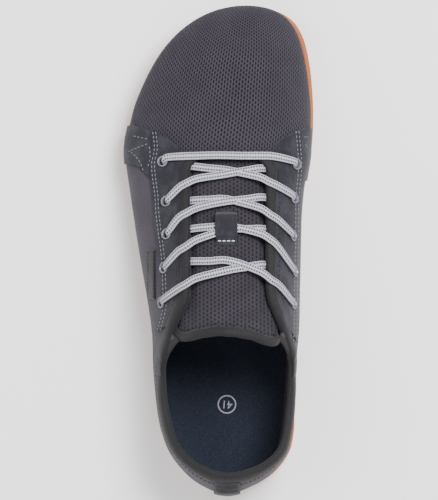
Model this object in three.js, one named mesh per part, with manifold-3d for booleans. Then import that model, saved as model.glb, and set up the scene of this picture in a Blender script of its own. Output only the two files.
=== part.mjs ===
// Low barefoot sports shoe for the left foot: a gum cupsole with hexagon lugs, one hollow upper
// with two suede eyestays and a heel strip, a rolled collar, a tongue under flat laces, an insole.
// Millimetres. X runs from the lateral to the medial side, Y from heel to toe, Z up from the floor.
import * as THREE from "three";
import Module from "manifold-3d";

const wasm = await Module();
wasm.setup();

// Driving dimensions of the last and the sole
const LENGTH = 276;
const BALL_WIDTH = 108;
const HEEL_WIDTH = 78;
const INSTEP_HEIGHT = 88;
const TOE_HEIGHT = 38;
const HEEL_HEIGHT = 69;
const BULGE_HEIGHT = 26;
const STACK_HEIGHT = 5;
const RIM_HEIGHT = 11;
const END_RIM_RISE = 2;
const TOE_SPRING = 9;
const HEEL_SPRING = 3;
const ARCH_RISE = 1.2;

// Walls, overlays and clearances
const CLEAR = 0.3;
const UPPER_WALL = 2;
const SUEDE = 1.2;
const LABEL_THICKNESS = 0.8;
const TONGUE_THICKNESS = 2.8;
const BINDING_THICKNESS = 3.8;
const INSOLE_THICKNESS = 3;
const TUCK = 15;
const TUCK_DEPTH = 12;

// Collar roll
const COLLAR_HEIGHT = 10;
const COLLAR_THICKNESS = 5.4;
const COLLAR_END = 0.312;

// Throat and tongue
const THROAT_WIDTH = 43.6;
const THROAT_CENTRE = 5.2;
const THROAT_CORNER = 9;
const THROAT_FRONT = 0.687;
const TONGUE_LAP = 5.5;
const TONGUE_END = 0.302;
const BINDING_WIDTH = 5.5;

// Laces, eyelets, keeper
const LACE_WIDTH = 4.5;
const LACE_THICKNESS = 1.6;
const EYELET_RADIUS = 3.2;
const EYELET_BORE = 1.9;
const EYELET_BARREL = 2.4;
const EYELET_FLANGE = 0.8;
const EYELET_CHAMFER = 0.3;
const LACE_REST = SUEDE + 4 * CLEAR;
const LACE_STOP = EYELET_RADIUS + CLEAR + 0.4;
const FACING_GAP = 1.6;
const KEEPER_WIDTH = 11.8;
const KEEPER_THICKNESS = 1;

// Tread
const LUG_DEPTH = 1.5;
const LUG_WIDTH = 9.8;
const LUG_PITCH = 12.4;
const LUG_ROW = 9.5;
const LUG_EMBED = 0.5;
const TREAD_TURN = THREE.MathUtils.degToRad(3);
const TREAD_ORIGIN = { at: 0.82, across: 0.294 };
const BORDER = 6;
const BAND_GROOVE = 1.3;
const SIDE_STEP = 0.9;
const SIDE_STEP_DROP = 3.5;
const SIDE_STEP_RISE = 0.4;

const HALF = LENGTH / 2;
const WIDE_LIMIT = BALL_WIDTH;
const TALL_LIMIT = 2 * INSTEP_HEIGHT;

// Sole outline. at: share of the length. Across: shares of the width that the row follows.
const SOLE_OUTLINE = [
  { at: 0, of: HEEL_WIDTH, lateral: 0.06, medial: 0.06 },
  { at: 0.01, of: HEEL_WIDTH, lateral: -0.1, medial: 0.235 },
  { at: 0.04, of: HEEL_WIDTH, lateral: -0.262, medial: 0.415 },
  { at: 0.1, of: HEEL_WIDTH, lateral: -0.386, medial: 0.54 },
  { at: 0.16, of: HEEL_WIDTH, lateral: -0.436, medial: 0.56 },
  { at: 0.25, of: HEEL_WIDTH, lateral: -0.47, medial: 0.54 },
  { at: 0.35, of: BALL_WIDTH, lateral: -0.356, medial: 0.386 },
  { at: 0.45, of: BALL_WIDTH, lateral: -0.394, medial: 0.4 },
  { at: 0.55, of: BALL_WIDTH, lateral: -0.444, medial: 0.43 },
  { at: 0.62, of: BALL_WIDTH, lateral: -0.478, medial: 0.465 },
  { at: 0.7, of: BALL_WIDTH, lateral: -0.5, medial: 0.5 },
  { at: 0.78, of: BALL_WIDTH, lateral: -0.462, medial: 0.505 },
  { at: 0.84, of: BALL_WIDTH, lateral: -0.405, medial: 0.497 },
  { at: 0.91, of: BALL_WIDTH, lateral: -0.302, medial: 0.47 },
  { at: 0.96, of: BALL_WIDTH, lateral: -0.176, medial: 0.415 },
  { at: 0.99, of: BALL_WIDTH, lateral: -0.03, medial: 0.312 },
  { at: 1, of: BALL_WIDTH, lateral: 0.14, medial: 0.14 },
];

// Plan of the last at its widest line. The upper hangs over the sole at the medial arch.
const LAST_PLAN = [
  { at: 0, of: HEEL_WIDTH, lateral: 0.06, medial: 0.06, ridge: 0.06 },
  { at: 0.01, of: HEEL_WIDTH, lateral: -0.08, medial: 0.2, ridge: 0.06 },
  { at: 0.04, of: HEEL_WIDTH, lateral: -0.235, medial: 0.378, ridge: 0.06 },
  { at: 0.1, of: HEEL_WIDTH, lateral: -0.384, medial: 0.518, ridge: 0.06 },
  { at: 0.16, of: HEEL_WIDTH, lateral: -0.44, medial: 0.542, ridge: 0.06 },
  { at: 0.25, of: HEEL_WIDTH, lateral: -0.475, medial: 0.565, ridge: 0.06 },
  { at: 0.35, of: BALL_WIDTH, lateral: -0.359, medial: 0.424, ridge: 0.046 },
  { at: 0.45, of: BALL_WIDTH, lateral: -0.396, medial: 0.426, ridge: 0.046 },
  { at: 0.55, of: BALL_WIDTH, lateral: -0.436, medial: 0.432, ridge: 0.046 },
  { at: 0.62, of: BALL_WIDTH, lateral: -0.466, medial: 0.447, ridge: 0.05 },
  { at: 0.7, of: BALL_WIDTH, lateral: -0.49, medial: 0.477, ridge: 0.06 },
  { at: 0.78, of: BALL_WIDTH, lateral: -0.452, medial: 0.483, ridge: 0.085 },
  { at: 0.84, of: BALL_WIDTH, lateral: -0.394, medial: 0.47, ridge: 0.1 },
  { at: 0.91, of: BALL_WIDTH, lateral: -0.292, medial: 0.438, ridge: 0.12 },
  { at: 0.96, of: BALL_WIDTH, lateral: -0.164, medial: 0.385, ridge: 0.13 },
  { at: 0.99, of: BALL_WIDTH, lateral: -0.018, medial: 0.29, ridge: 0.14 },
  { at: 1, of: BALL_WIDTH, lateral: 0.14, medial: 0.14, ridge: 0.14 },
];

// Heights of the last. crown: share of the height that the row follows. wide and base: heights of
// the widest line and of the lowest point, as shares of the bulge height.
const LAST_PROFILE = [
  { at: 0, of: HEEL_HEIGHT, crown: 0.4, wide: 1.06, base: 1.06, roundLateral: 2, roundMedial: 2 },
  { at: 0.01, of: HEEL_HEIGHT, crown: 0.68, wide: 1.06, base: 0.66, roundLateral: 2, roundMedial: 2 },
  { at: 0.04, of: HEEL_HEIGHT, crown: 1, wide: 1.05, base: -0.05, roundLateral: 2, roundMedial: 2.2 },
  { at: 0.1, of: HEEL_HEIGHT, crown: 1.42, wide: 1.02, base: -0.46, roundLateral: 2, roundMedial: 2.4 },
  { at: 0.17, of: HEEL_HEIGHT, crown: 1.52, wide: 0.98, base: -0.46, roundLateral: 1.9, roundMedial: 2.5 },
  { at: 0.25, of: HEEL_HEIGHT, crown: 1.45, wide: 0.94, base: -0.46, roundLateral: 1.9, roundMedial: 2.4 },
  { at: 0.34, of: INSTEP_HEIGHT, crown: 1, wide: 0.92, base: -0.46, roundLateral: 1.85, roundMedial: 2.2 },
  { at: 0.42, of: INSTEP_HEIGHT, crown: 0.91, wide: 0.88, base: -0.46, roundLateral: 1.85, roundMedial: 2.1 },
  { at: 0.5, of: INSTEP_HEIGHT, crown: 0.82, wide: 0.84, base: -0.46, roundLateral: 1.85, roundMedial: 2.1 },
  { at: 0.6, of: INSTEP_HEIGHT, crown: 0.69, wide: 0.78, base: -0.46, roundLateral: 1.9, roundMedial: 2.1 },
  { at: 0.7, of: INSTEP_HEIGHT, crown: 0.555, wide: 0.74, base: -0.46, roundLateral: 2, roundMedial: 2.2 },
  { at: 0.8, of: TOE_HEIGHT, crown: 1.08, wide: 0.78, base: -0.46, roundLateral: 2.2, roundMedial: 2.3 },
  { at: 0.9, of: TOE_HEIGHT, crown: 0.985, wide: 0.88, base: -0.46, roundLateral: 2.2, roundMedial: 2.2 },
  { at: 0.96, of: TOE_HEIGHT, crown: 0.91, wide: 0.96, base: 0.08, roundLateral: 2, roundMedial: 2 },
  { at: 0.99, of: TOE_HEIGHT, crown: 0.8, wide: 1, base: 0.77, roundLateral: 2, roundMedial: 2 },
  { at: 1, of: TOE_HEIGHT, crown: 0.684, wide: 1, base: 1, roundLateral: 2, roundMedial: 2 },
];

// Height of the top edge along the quarter, as shares of the heel height.
const TOPLINE = [
  { at: 0, height: 1 },
  { at: 0.06, height: 0.985 },
  { at: 0.13, height: 0.88 },
  { at: 0.2, height: 0.81 },
  { at: 0.26, height: 0.85 },
  { at: 0.31, height: 1 },
  { at: 0.35, height: 1.2 },
  { at: 0.4, height: 1.6 },
  { at: 1, height: 1.6 },
];

// Front and lower edge of each eyestay seen from above, from the side edge round to the throat
// front, then from the rear corner forward again. Rows at 1 or -1 run on round the side.
const EYESTAY_LATERAL = [
  { at: 0.752, across: -1 },
  { at: 0.751, across: -0.44 },
  { at: 0.733, across: -0.313 },
  { at: 0.717, across: -0.241 },
  { at: 0.698, across: -0.19 },
  { at: 0.66, across: 0 },
  { at: 0.368, across: 0 },
  { at: 0.366, across: -0.2 },
  { at: 0.331, across: -0.322 },
  { at: 0.4, across: -0.287 },
  { at: 0.48, across: -0.297 },
  { at: 0.538, across: -0.318 },
  { at: 0.598, across: -0.333 },
  { at: 0.627, across: -0.341 },
  { at: 0.648, across: -0.366 },
  { at: 0.667, across: -0.416 },
  { at: 0.674, across: -0.481 },
  { at: 0.672, across: -1 },
];
const EYESTAY_MEDIAL = [
  { at: 0.748, across: 1 },
  { at: 0.745, across: 0.471 },
  { at: 0.741, across: 0.426 },
  { at: 0.731, across: 0.37 },
  { at: 0.72, across: 0.318 },
  { at: 0.698, across: 0.272 },
  { at: 0.66, across: 0.1 },
  { at: 0.36, across: 0.1 },
  { at: 0.352, across: 0.33 },
  { at: 0.31, across: 0.409 },
  { at: 0.33, across: 0.412 },
  { at: 0.42, across: 0.411 },
  { at: 0.53, across: 0.413 },
  { at: 0.598, across: 0.415 },
  { at: 0.622, across: 0.424 },
  { at: 0.638, across: 0.447 },
  { at: 0.642, across: 1 },
];

// Eyelet centres from the throat to the ankle.
const EYELETS = [
  { lateralAt: 0.675, lateral: -0.284, medialAt: 0.671, medial: 0.392 },
  { lateralAt: 0.594, lateral: -0.264, medialAt: 0.602, medial: 0.378 },
  { lateralAt: 0.528, lateral: -0.259, medialAt: 0.525, medial: 0.37 },
  { lateralAt: 0.46, lateral: -0.271, medialAt: 0.453, medial: 0.378 },
  { lateralAt: 0.39, lateral: -0.282, medialAt: 0.387, medial: 0.371 },
];
const LACE_BAR_AT = 0.684;

// Where each crossing's two straps run: out from under one facing, over the tongue, over the
// edge of the other facing and into the next eyelet.
const CROSSINGS = [
  {
    fromLateral: { start: 0.668, middle: 0.658, edge: 0.63 },
    fromMedial: { start: 0.664, middle: 0.65, edge: 0.628 },
  },
  {
    fromLateral: { start: 0.598, middle: 0.599, edge: 0.564 },
    fromMedial: { start: 0.604, middle: 0.594, edge: 0.568 },
  },
  {
    fromLateral: { start: 0.54, middle: 0.545, edge: 0.514 },
    fromMedial: { start: 0.54, middle: 0.536, edge: 0.5 },
  },
  {
    fromLateral: { start: 0.474, middle: 0.475, edge: 0.434 },
    fromMedial: { start: 0.468, middle: 0.455, edge: 0.424 },
  },
];
const LACE_START_LIFT = -0.9;
const LACE_MIDDLE_LIFT = -0.55;
const KEEPER_FRONT = 0.579;
const KEEPER_BACK = 0.508;
const KEEPER_ACROSS = 0.039;
const HEEL_STRIP_WIDTH = 14.4;
const HEEL_STRIP_REACH = 0.06;
const LABEL = { back: 0.396, front: 0.498, inner: -0.328, outer: -0.366 };

// Lowest zigzag edge of the toe bands and first one of the heel bands, in the turned tread frame,
// with the step from band to band. Lengths are shares of the sole length, across of ball width.
const TOE_BANDS = {
  count: 7,
  step: { along: 0.0167, across: -0.0287 },
  line: [
    { at: 0.917, across: 0.6 },
    { at: 0.917, across: 0.384 },
    { at: 0.865, across: 0.238 },
    { at: 0.865, across: 0.046 },
    { at: 0.808, across: -0.097 },
    { at: 0.801, across: -0.306 },
    { at: 0.747, across: -0.451 },
    { at: 0.747, across: -0.6 },
  ],
};
const HEEL_BANDS = {
  count: 6,
  step: { along: -0.0178, across: 0.0306 },
  line: [
    { at: 0.225, across: 0.6 },
    { at: 0.219, across: 0.275 },
    { at: 0.155, across: 0.116 },
    { at: 0.158, across: -0.065 },
    { at: 0.111, across: -0.187 },
    { at: 0.113, across: -0.6 },
  ],
};

// Mesh resolution
const STATIONS = 25;
const TOP_STEPS = 6;
const LOW_STEPS = [1, 0.55, 0.25];
const SOLE_STATIONS = 22;
const LAYER_STATIONS = 52;
const COLLAR_STATIONS = 30;
const COLLAR_SIDES = 8;
const ROUND_SIDES = 8;
const HOLE_SIDES = 6;
const LACE_STEPS = 7;

const MATERIALS = {
  gum: new THREE.MeshStandardMaterial({ color: 0xb2603e, roughness: 0.55, metalness: 0 }),
  knit: new THREE.MeshStandardMaterial({ color: 0x5a545e, roughness: 0.9, metalness: 0 }),
  suede: new THREE.MeshStandardMaterial({ color: 0x4e5056, roughness: 0.95, metalness: 0 }),
  lining: new THREE.MeshStandardMaterial({ color: 0x413e46, roughness: 0.9, metalness: 0 }),
  insole: new THREE.MeshStandardMaterial({ color: 0x1c1d28, roughness: 0.95, metalness: 0 }),
  lace: new THREE.MeshStandardMaterial({ color: 0x85838a, roughness: 0.85, metalness: 0 }),
  eyelet: new THREE.MeshStandardMaterial({ color: 0x6f6f75, roughness: 0.45, metalness: 0.3 }),
  label: new THREE.MeshStandardMaterial({ color: 0x2a2a30, roughness: 0.8, metalness: 0 }),
};

// Places along the shoe
const alongY = (at) => (at - 0.5) * LENGTH;
const shareOf = (y) => THREE.MathUtils.clamp(y / LENGTH + 0.5, 0, 1);
const acrossX = (across) => across * BALL_WIDTH;
const plan = ({ at, across }) => new THREE.Vector2(acrossX(across), alongY(at));

// Value of a table's column at a share of the length. Rows are joined by a curve without
// overshoot, drawn over the half-turn angle, so that the ends close round.
const angleOf = (share) => Math.acos(1 - 2 * THREE.MathUtils.clamp(share, 0, 1));

function slopesOf(angles, values) {
  const steps = values.slice(1).map((v, i) => (v - values[i]) / (angles[i + 1] - angles[i]));
  const inner = steps.slice(1).map((next, i) => {
    const before = steps[i];
    return before * next <= 0 ? 0 : (2 * before * next) / (before + next);
  });
  return [steps[0], ...inner, steps[steps.length - 1]];
}

function curveOf(rows, read) {
  const angles = rows.map((row) => angleOf(row.at));
  const values = rows.map(read);
  const slopes = slopesOf(angles, values);
  return (share) => {
    const angle = angleOf(share);
    let i = angles.findIndex((a, k) => k > 0 && angle <= a) - 1;
    if (i < 0) i = angles.length - 2;
    const width = angles[i + 1] - angles[i];
    const t = (angle - angles[i]) / width;
    const far = t * t * (3 - 2 * t);
    const bend = slopes[i] * t * (1 - t) ** 2 - slopes[i + 1] * t * t * (1 - t);
    return values[i] * (1 - far) + values[i + 1] * far + width * bend;
  };
}

const soleLateral = curveOf(SOLE_OUTLINE, (row) => row.lateral * row.of);
const soleMedial = curveOf(SOLE_OUTLINE, (row) => row.medial * row.of);
const lastLateral = curveOf(LAST_PLAN, (row) => row.lateral * row.of);
const lastMedial = curveOf(LAST_PLAN, (row) => row.medial * row.of);
const lastRidge = curveOf(LAST_PLAN, (row) => row.ridge * row.of);
const lastCrown = curveOf(LAST_PROFILE, (row) => row.crown * row.of);
const lastWide = curveOf(LAST_PROFILE, (row) => row.wide * BULGE_HEIGHT);
const lastBase = curveOf(LAST_PROFILE, (row) => row.base * BULGE_HEIGHT);
const lastRoundLateral = curveOf(LAST_PROFILE, (row) => row.roundLateral);
const lastRoundMedial = curveOf(LAST_PROFILE, (row) => row.roundMedial);
const toplineHeight = curveOf(TOPLINE, (row) => row.height * HEEL_HEIGHT);

// Underside of the sole: flat under heel and ball, raised at the toe, the heel edge and the arch.
const TOE_SPRING_START = 0.72;
const HEEL_SPRING_END = 0.06;
const ARCH_SPAN = { from: 0.3, to: 0.54 };

function ground(y) {
  const share = shareOf(y);
  if (share > TOE_SPRING_START) {
    return TOE_SPRING * ((share - TOE_SPRING_START) / (1 - TOE_SPRING_START)) ** 2;
  }
  if (share < HEEL_SPRING_END) return HEEL_SPRING * (1 - share / HEEL_SPRING_END) ** 2;
  if (share > ARCH_SPAN.from && share < ARCH_SPAN.to) {
    const t = (share - ARCH_SPAN.from) / (ARCH_SPAN.to - ARCH_SPAN.from);
    return ARCH_RISE * Math.sin(Math.PI * t) ** 2;
  }
  return 0;
}

const footbed = (y) => ground(y) + STACK_HEIGHT;
const rimRise = (y) => END_RIM_RISE * Math.abs(2 * shareOf(y) - 1) ** 3;
const rim = (y) => ground(y) + RIM_HEIGHT + rimRise(y);

// Solids from point grids and from three.js geometry
function solidOf(points, faces) {
  const vertProperties = new Float32Array(points.flatMap((p) => [p.x, p.y, p.z]));
  const triVerts = new Uint32Array(faces.flat());
  return new wasm.Manifold(new wasm.Mesh({ numProp: 3, vertProperties, triVerts }));
}

function geometryOf(solid) {
  const mesh = solid.getMesh();
  const geometry = new THREE.BufferGeometry();
  geometry.setAttribute("position", new THREE.BufferAttribute(mesh.vertProperties, 3));
  geometry.setIndex(new THREE.BufferAttribute(mesh.triVerts, 1));
  geometry.computeVertexNormals();
  return geometry;
}

// Closed solid of a three.js geometry whose corners are doubled, such as a lathe or an extrusion.
function closedSolid(geometry) {
  const position = geometry.getAttribute("position");
  const index = geometry.getIndex();
  const places = new Map();
  const points = [];
  const pick = (i) => {
    const p = new THREE.Vector3().fromBufferAttribute(position, i);
    const key = p.toArray().map((v) => Math.round(v * 1e4)).join();
    if (!places.has(key)) {
      places.set(key, points.length);
      points.push(p);
    }
    return places.get(key);
  };
  const count = index ? index.count : position.count;
  const faces = [];
  for (let i = 0; i < count; i += 3) {
    const face = [0, 1, 2].map((k) => pick(index ? index.getX(i + k) : i + k));
    if (new Set(face).size === 3) faces.push(face);
  }
  return solidOf(points, faces);
}

// Points and faces lofted through rings of as many points each, closed by a fan at each end.
function loft(rings) {
  const points = rings.flat();
  const faces = [];
  const size = rings[0].length;
  for (let i = 0; i < rings.length - 1; i += 1) {
    const near = i * size;
    const far = near + size;
    for (let j = 0; j < size; j += 1) {
      const k = (j + 1) % size;
      faces.push([near + j, near + k, far + j], [near + k, far + k, far + j]);
    }
  }
  const end = (rings.length - 1) * size;
  for (let j = 1; j < size - 1; j += 1) {
    faces.push([0, j + 1, j], [end, end + j, end + j + 1]);
  }
  return { points, faces };
}

const loftSolid = (rings) => {
  const { points, faces } = loft(rings);
  return solidOf(points, faces);
};

// Section of the last at a share of its length, from the lateral base over the ridge to the
// medial base. Above the widest line it is a rounded arch, below it tucks in under the foot.
const LAST_BACK = -0.4;
const LAST_FRONT = -0.8;
const lastStart = -HALF + LAST_BACK;
const lastLength = LENGTH - LAST_BACK + LAST_FRONT;
const lastShare = (y) => THREE.MathUtils.clamp((y - lastStart) / lastLength, 0, 1);

function sectionAt(share) {
  const wide = lastWide(share);
  const base = lastBase(share);
  return {
    y: lastStart + lastLength * share,
    lateral: lastLateral(share),
    medial: lastMedial(share),
    ridge: lastRidge(share),
    crown: lastCrown(share),
    wide,
    base,
    tuck: (TUCK * (wide - base)) / (BULGE_HEIGHT + TUCK_DEPTH),
    roundLateral: lastRoundLateral(share),
    roundMedial: lastRoundMedial(share),
  };
}

function sectionRing(share) {
  const s = sectionAt(share);
  const low = (edge, inward, v) =>
    new THREE.Vector3(edge + inward * s.tuck * v ** 1.5, s.y, s.wide - (s.wide - s.base) * v);
  const high = (edge, round, angle) =>
    new THREE.Vector3(
      s.ridge + (edge - s.ridge) * Math.max(Math.cos(angle), 0) ** (2 / round),
      s.y,
      s.wide + (s.crown - s.wide) * Math.sin(angle) ** (2 / round),
    );
  const angles = Array.from({ length: TOP_STEPS }, (_, k) => (k * Math.PI) / 2 / TOP_STEPS);
  return [
    ...LOW_STEPS.map((v) => low(s.lateral, 1, v)),
    ...angles.map((a) => high(s.lateral, s.roundLateral, a)),
    new THREE.Vector3(s.ridge, s.y, s.crown),
    ...angles.toReversed().map((a) => high(s.medial, s.roundMedial, a)),
    ...LOW_STEPS.toReversed().map((v) => low(s.medial, -1, v)),
  ];
}

// The last as a closed mesh with one point at the heel and one at the toe, and the point normals
// that larger and smaller forms grow along.
function lastMesh() {
  const rings = [];
  for (let k = 1; k < STATIONS; k += 1) {
    rings.push(sectionRing((1 - Math.cos((k * Math.PI) / STATIONS)) / 2));
  }
  const size = rings[0].length;
  const points = [...rings.flat(), sectionRing(0)[0], sectionRing(1)[0]];
  const heel = points.length - 2;
  const toe = points.length - 1;
  const end = (rings.length - 1) * size;
  const faces = [];
  for (let j = 0; j < size; j += 1) {
    const k = (j + 1) % size;
    faces.push([heel, k, j], [toe, end + j, end + k]);
    for (let i = 0; i < rings.length - 1; i += 1) {
      const near = i * size;
      const far = near + size;
      faces.push([near + j, near + k, far + j], [near + k, far + k, far + j]);
    }
  }
  const geometry = new THREE.BufferGeometry();
  const flat = new Float32Array(points.flatMap((p) => [p.x, p.y, p.z]));
  geometry.setAttribute("position", new THREE.BufferAttribute(flat, 3));
  geometry.setIndex(faces.flat());
  geometry.computeVertexNormals();
  const normal = geometry.getAttribute("normal");
  const normals = points.map((_, i) => new THREE.Vector3().fromBufferAttribute(normal, i));
  return { points, faces, normals };
}

const LAST = lastMesh();

// Form of the last grown outwards, or shrunk with a negative number.
function form(grow) {
  const points = LAST.points.map((p, i) => p.clone().addScaledVector(LAST.normals[i], grow));
  return solidOf(points, LAST.faces);
}

const shellBetween = (inner, outer) => form(outer).subtract(form(inner));

// Everything between two heights that change along the shoe, with stations also at its steps.
function layer(low, high, steps = []) {
  const places = Array.from(
    { length: LAYER_STATIONS + 1 },
    (_, k) => 1.1 * HALF * ((2 * k) / LAYER_STATIONS - 1),
  );
  const rings = [...places, ...steps]
    .sort((a, b) => a - b)
    .map((y) => [
      new THREE.Vector3(-WIDE_LIMIT, y, low(y)),
      new THREE.Vector3(-WIDE_LIMIT, y, high(y)),
      new THREE.Vector3(WIDE_LIMIT, y, high(y)),
      new THREE.Vector3(WIDE_LIMIT, y, low(y)),
    ]);
  return loftSolid(rings);
}

// Upright prism of an outline seen from above.
function prism(outline, low, high) {
  const shape = new THREE.Shape(outline);
  const geometry = new THREE.ExtrudeGeometry(shape, { depth: high - low, bevelEnabled: false });
  geometry.translate(0, 0, low);
  return closedSolid(geometry);
}

// Height of the last's upper side at a place, and the point above it along the surface normal.
function archHeight(x, y) {
  const s = sectionAt(lastShare(y));
  const lateral = x < s.ridge;
  const edge = lateral ? s.lateral : s.medial;
  const round = lateral ? s.roundLateral : s.roundMedial;
  const share = Math.min(Math.abs((x - s.ridge) / (edge - s.ridge)), 0.999);
  return s.wide + (s.crown - s.wide) * (1 - share ** round) ** (1 / round);
}

function archNormal(x, y) {
  const d = 1;
  const slopeX = (archHeight(x + d, y) - archHeight(x - d, y)) / (2 * d);
  const slopeY = (archHeight(x, y + d) - archHeight(x, y - d)) / (2 * d);
  return new THREE.Vector3(-slopeX, -slopeY, 1).normalize();
}

const onLast = (x, y, lift) =>
  new THREE.Vector3(x, y, archHeight(x, y)).addScaledVector(archNormal(x, y), lift);

// Throat opening seen from above: parallel facings that flare to the collar.
const THROAT_PARALLEL_END = 0.4;
const THROAT_FLARE_END = 0.322;
const THROAT_FLARE = { lateral: 10, medial: 9 };
const throatLateral = THROAT_CENTRE - THROAT_WIDTH / 2;
const throatMedial = THROAT_CENTRE + THROAT_WIDTH / 2;

function throatOutline() {
  const shape = new THREE.Shape();
  const front = alongY(THROAT_FRONT);
  const flareEnd = alongY(THROAT_FLARE_END);
  const behind = alongY(THROAT_FLARE_END - 0.03);
  shape.moveTo(throatLateral - THROAT_FLARE.lateral, behind);
  shape.lineTo(throatMedial + THROAT_FLARE.medial, behind);
  shape.lineTo(throatMedial + THROAT_FLARE.medial, flareEnd);
  shape.lineTo(throatMedial, alongY(THROAT_PARALLEL_END));
  shape.lineTo(throatMedial, front - THROAT_CORNER);
  shape.quadraticCurveTo(throatMedial, front, throatMedial - THROAT_CORNER, front);
  shape.lineTo(throatLateral + THROAT_CORNER, front);
  shape.quadraticCurveTo(throatLateral, front, throatLateral, front - THROAT_CORNER);
  shape.lineTo(throatLateral, alongY(THROAT_PARALLEL_END));
  shape.lineTo(throatLateral - THROAT_FLARE.lateral, flareEnd);
  return shape.getPoints(3);
}

const throatCut = prism(throatOutline(), TOE_HEIGHT * 0.7, TALL_LIMIT);

// Top edge of the quarter. Behind the facings it drops by the collar roll that sits on it.
const COLLAR_STEP = 0.012;
function quarterTop(y) {
  const share = shareOf(y);
  const behind = THREE.MathUtils.clamp((COLLAR_END + COLLAR_STEP - share) / COLLAR_STEP, 0, 1);
  return toplineHeight(share) - (COLLAR_HEIGHT + CLEAR) * behind;
}

const aboveQuarter = layer(quarterTop, () => TALL_LIMIT, [
  alongY(COLLAR_END),
  alongY(COLLAR_END + COLLAR_STEP),
]);
const aboveFootbed = layer((y) => footbed(y) + CLEAR, () => TALL_LIMIT);
const aboveRim = layer((y) => rim(y) + 3 * CLEAR, () => TALL_LIMIT);

// Round hole through the wall at each eyelet, upright on the surface.
function eyeletPlaces() {
  return EYELETS.flatMap((row, i) => [
    {
      name: `eyelet_lateral_${i + 1}`,
      x: acrossX(row.lateral),
      y: alongY(row.lateralAt),
    },
    {
      name: `eyelet_medial_${i + 1}`,
      x: acrossX(row.medial),
      y: alongY(row.medialAt),
    },
  ]);
}

function standOnLast(geometry, x, y) {
  const place = new THREE.Matrix4().compose(
    onLast(x, y, 0),
    new THREE.Quaternion().setFromUnitVectors(new THREE.Vector3(0, 0, 1), archNormal(x, y)),
    new THREE.Vector3(1, 1, 1),
  );
  return geometry.applyMatrix4(place);
}

function eyeletHoles() {
  const holes = eyeletPlaces().map(({ x, y }) => {
    const radius = (EYELET_BARREL + CLEAR) / Math.cos(Math.PI / HOLE_SIDES);
    const depth = 4 * UPPER_WALL + 2 * SUEDE;
    const geometry = new THREE.CylinderGeometry(radius, radius, depth, HOLE_SIDES);
    geometry.rotateX(Math.PI / 2);
    return closedSolid(standOnLast(geometry, x, y));
  });
  return holes.reduce((all, hole) => all.add(hole));
}

const holesCut = eyeletHoles();

function eyelet(x, y) {
  const top = SUEDE + 3 * CLEAR;
  const profile = [
    [EYELET_BORE, -UPPER_WALL - CLEAR],
    [EYELET_BARREL, -UPPER_WALL - CLEAR],
    [EYELET_BARREL, top],
    [EYELET_RADIUS, top],
    [EYELET_RADIUS - EYELET_CHAMFER, top + EYELET_FLANGE],
    [EYELET_BORE, top + EYELET_FLANGE],
    [EYELET_BORE, -UPPER_WALL - CLEAR],
  ].map(([radius, height]) => new THREE.Vector2(radius, height));
  const geometry = new THREE.LatheGeometry(profile, ROUND_SIDES);
  geometry.rotateX(Math.PI / 2);
  return closedSolid(standOnLast(geometry, x, y));
}

// Upper: one wall between the last and its shrunk form, open at the throat, the collar and below.
function upper() {
  return form(0)
    .subtract(form(-UPPER_WALL))
    .intersect(aboveFootbed)
    .subtract(aboveQuarter)
    .subtract(throatCut)
    .subtract(holesCut);
}

// Suede overlay: what an outline seen from above takes out of the shell just outside the upper.
function overlay(outline, thickness, low = 0) {
  return shellBetween(CLEAR, CLEAR + thickness)
    .intersect(prism(outline, low, TALL_LIMIT))
    .intersect(aboveRim);
}

// The strip behind the flank keeps above the widest line of the last.
const FLANK_BACK = 0.6;
const belowStrip = prism(
  rectangle(-WIDE_LIMIT, WIDE_LIMIT, -HALF * 1.1, alongY(FLANK_BACK)),
  -RIM_HEIGHT,
  BULGE_HEIGHT,
);

function eyestay(rows) {
  return overlay(rows.map(plan), SUEDE)
    .subtract(belowStrip)
    .subtract(aboveQuarter)
    .subtract(throatCut)
    .subtract(holesCut);
}

function rectangle(left, right, back, front) {
  return [
    new THREE.Vector2(left, back),
    new THREE.Vector2(right, back),
    new THREE.Vector2(right, front),
    new THREE.Vector2(left, front),
  ];
}

function heelStrip() {
  const centre = lastRidge(0);
  const left = centre - HEEL_STRIP_WIDTH / 2;
  const right = centre + HEEL_STRIP_WIDTH / 2;
  const outline = rectangle(left, right, -HALF * 1.1, alongY(HEEL_STRIP_REACH));
  return overlay(outline, SUEDE).subtract(aboveQuarter);
}

function sideLabel() {
  const { back, front, inner, outer } = LABEL;
  const outline = rectangle(acrossX(outer), acrossX(inner), alongY(back), alongY(front));
  return overlay(outline, LABEL_THICKNESS, BULGE_HEIGHT);
}

// Tongue: a plate under the facings, wider than the throat, with a binding across its end.
function tongueOutline(back, front) {
  const half = THROAT_WIDTH / 2 + TONGUE_LAP;
  const rear = half - 1;
  return [
    new THREE.Vector2(THROAT_CENTRE - rear, back),
    new THREE.Vector2(THROAT_CENTRE + rear, back),
    new THREE.Vector2(THROAT_CENTRE + half, alongY(THROAT_PARALLEL_END)),
    new THREE.Vector2(THROAT_CENTRE + half, front - THROAT_CORNER),
    new THREE.Vector2(THROAT_CENTRE + half - THROAT_CORNER, front),
    new THREE.Vector2(THROAT_CENTRE - half + THROAT_CORNER, front),
    new THREE.Vector2(THROAT_CENTRE - half, front - THROAT_CORNER),
    new THREE.Vector2(THROAT_CENTRE - half, alongY(THROAT_PARALLEL_END)),
  ];
}

const tongueTop = -UPPER_WALL - CLEAR;
const tongueRear = alongY(TONGUE_END);
const tongueFront = alongY(THROAT_FRONT) + TONGUE_LAP;

function tongue() {
  const outline = tongueOutline(tongueRear + BINDING_WIDTH + CLEAR, tongueFront);
  return shellBetween(tongueTop - TONGUE_THICKNESS, tongueTop).intersect(
    prism(outline, RIM_HEIGHT * 2, TALL_LIMIT),
  );
}

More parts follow.
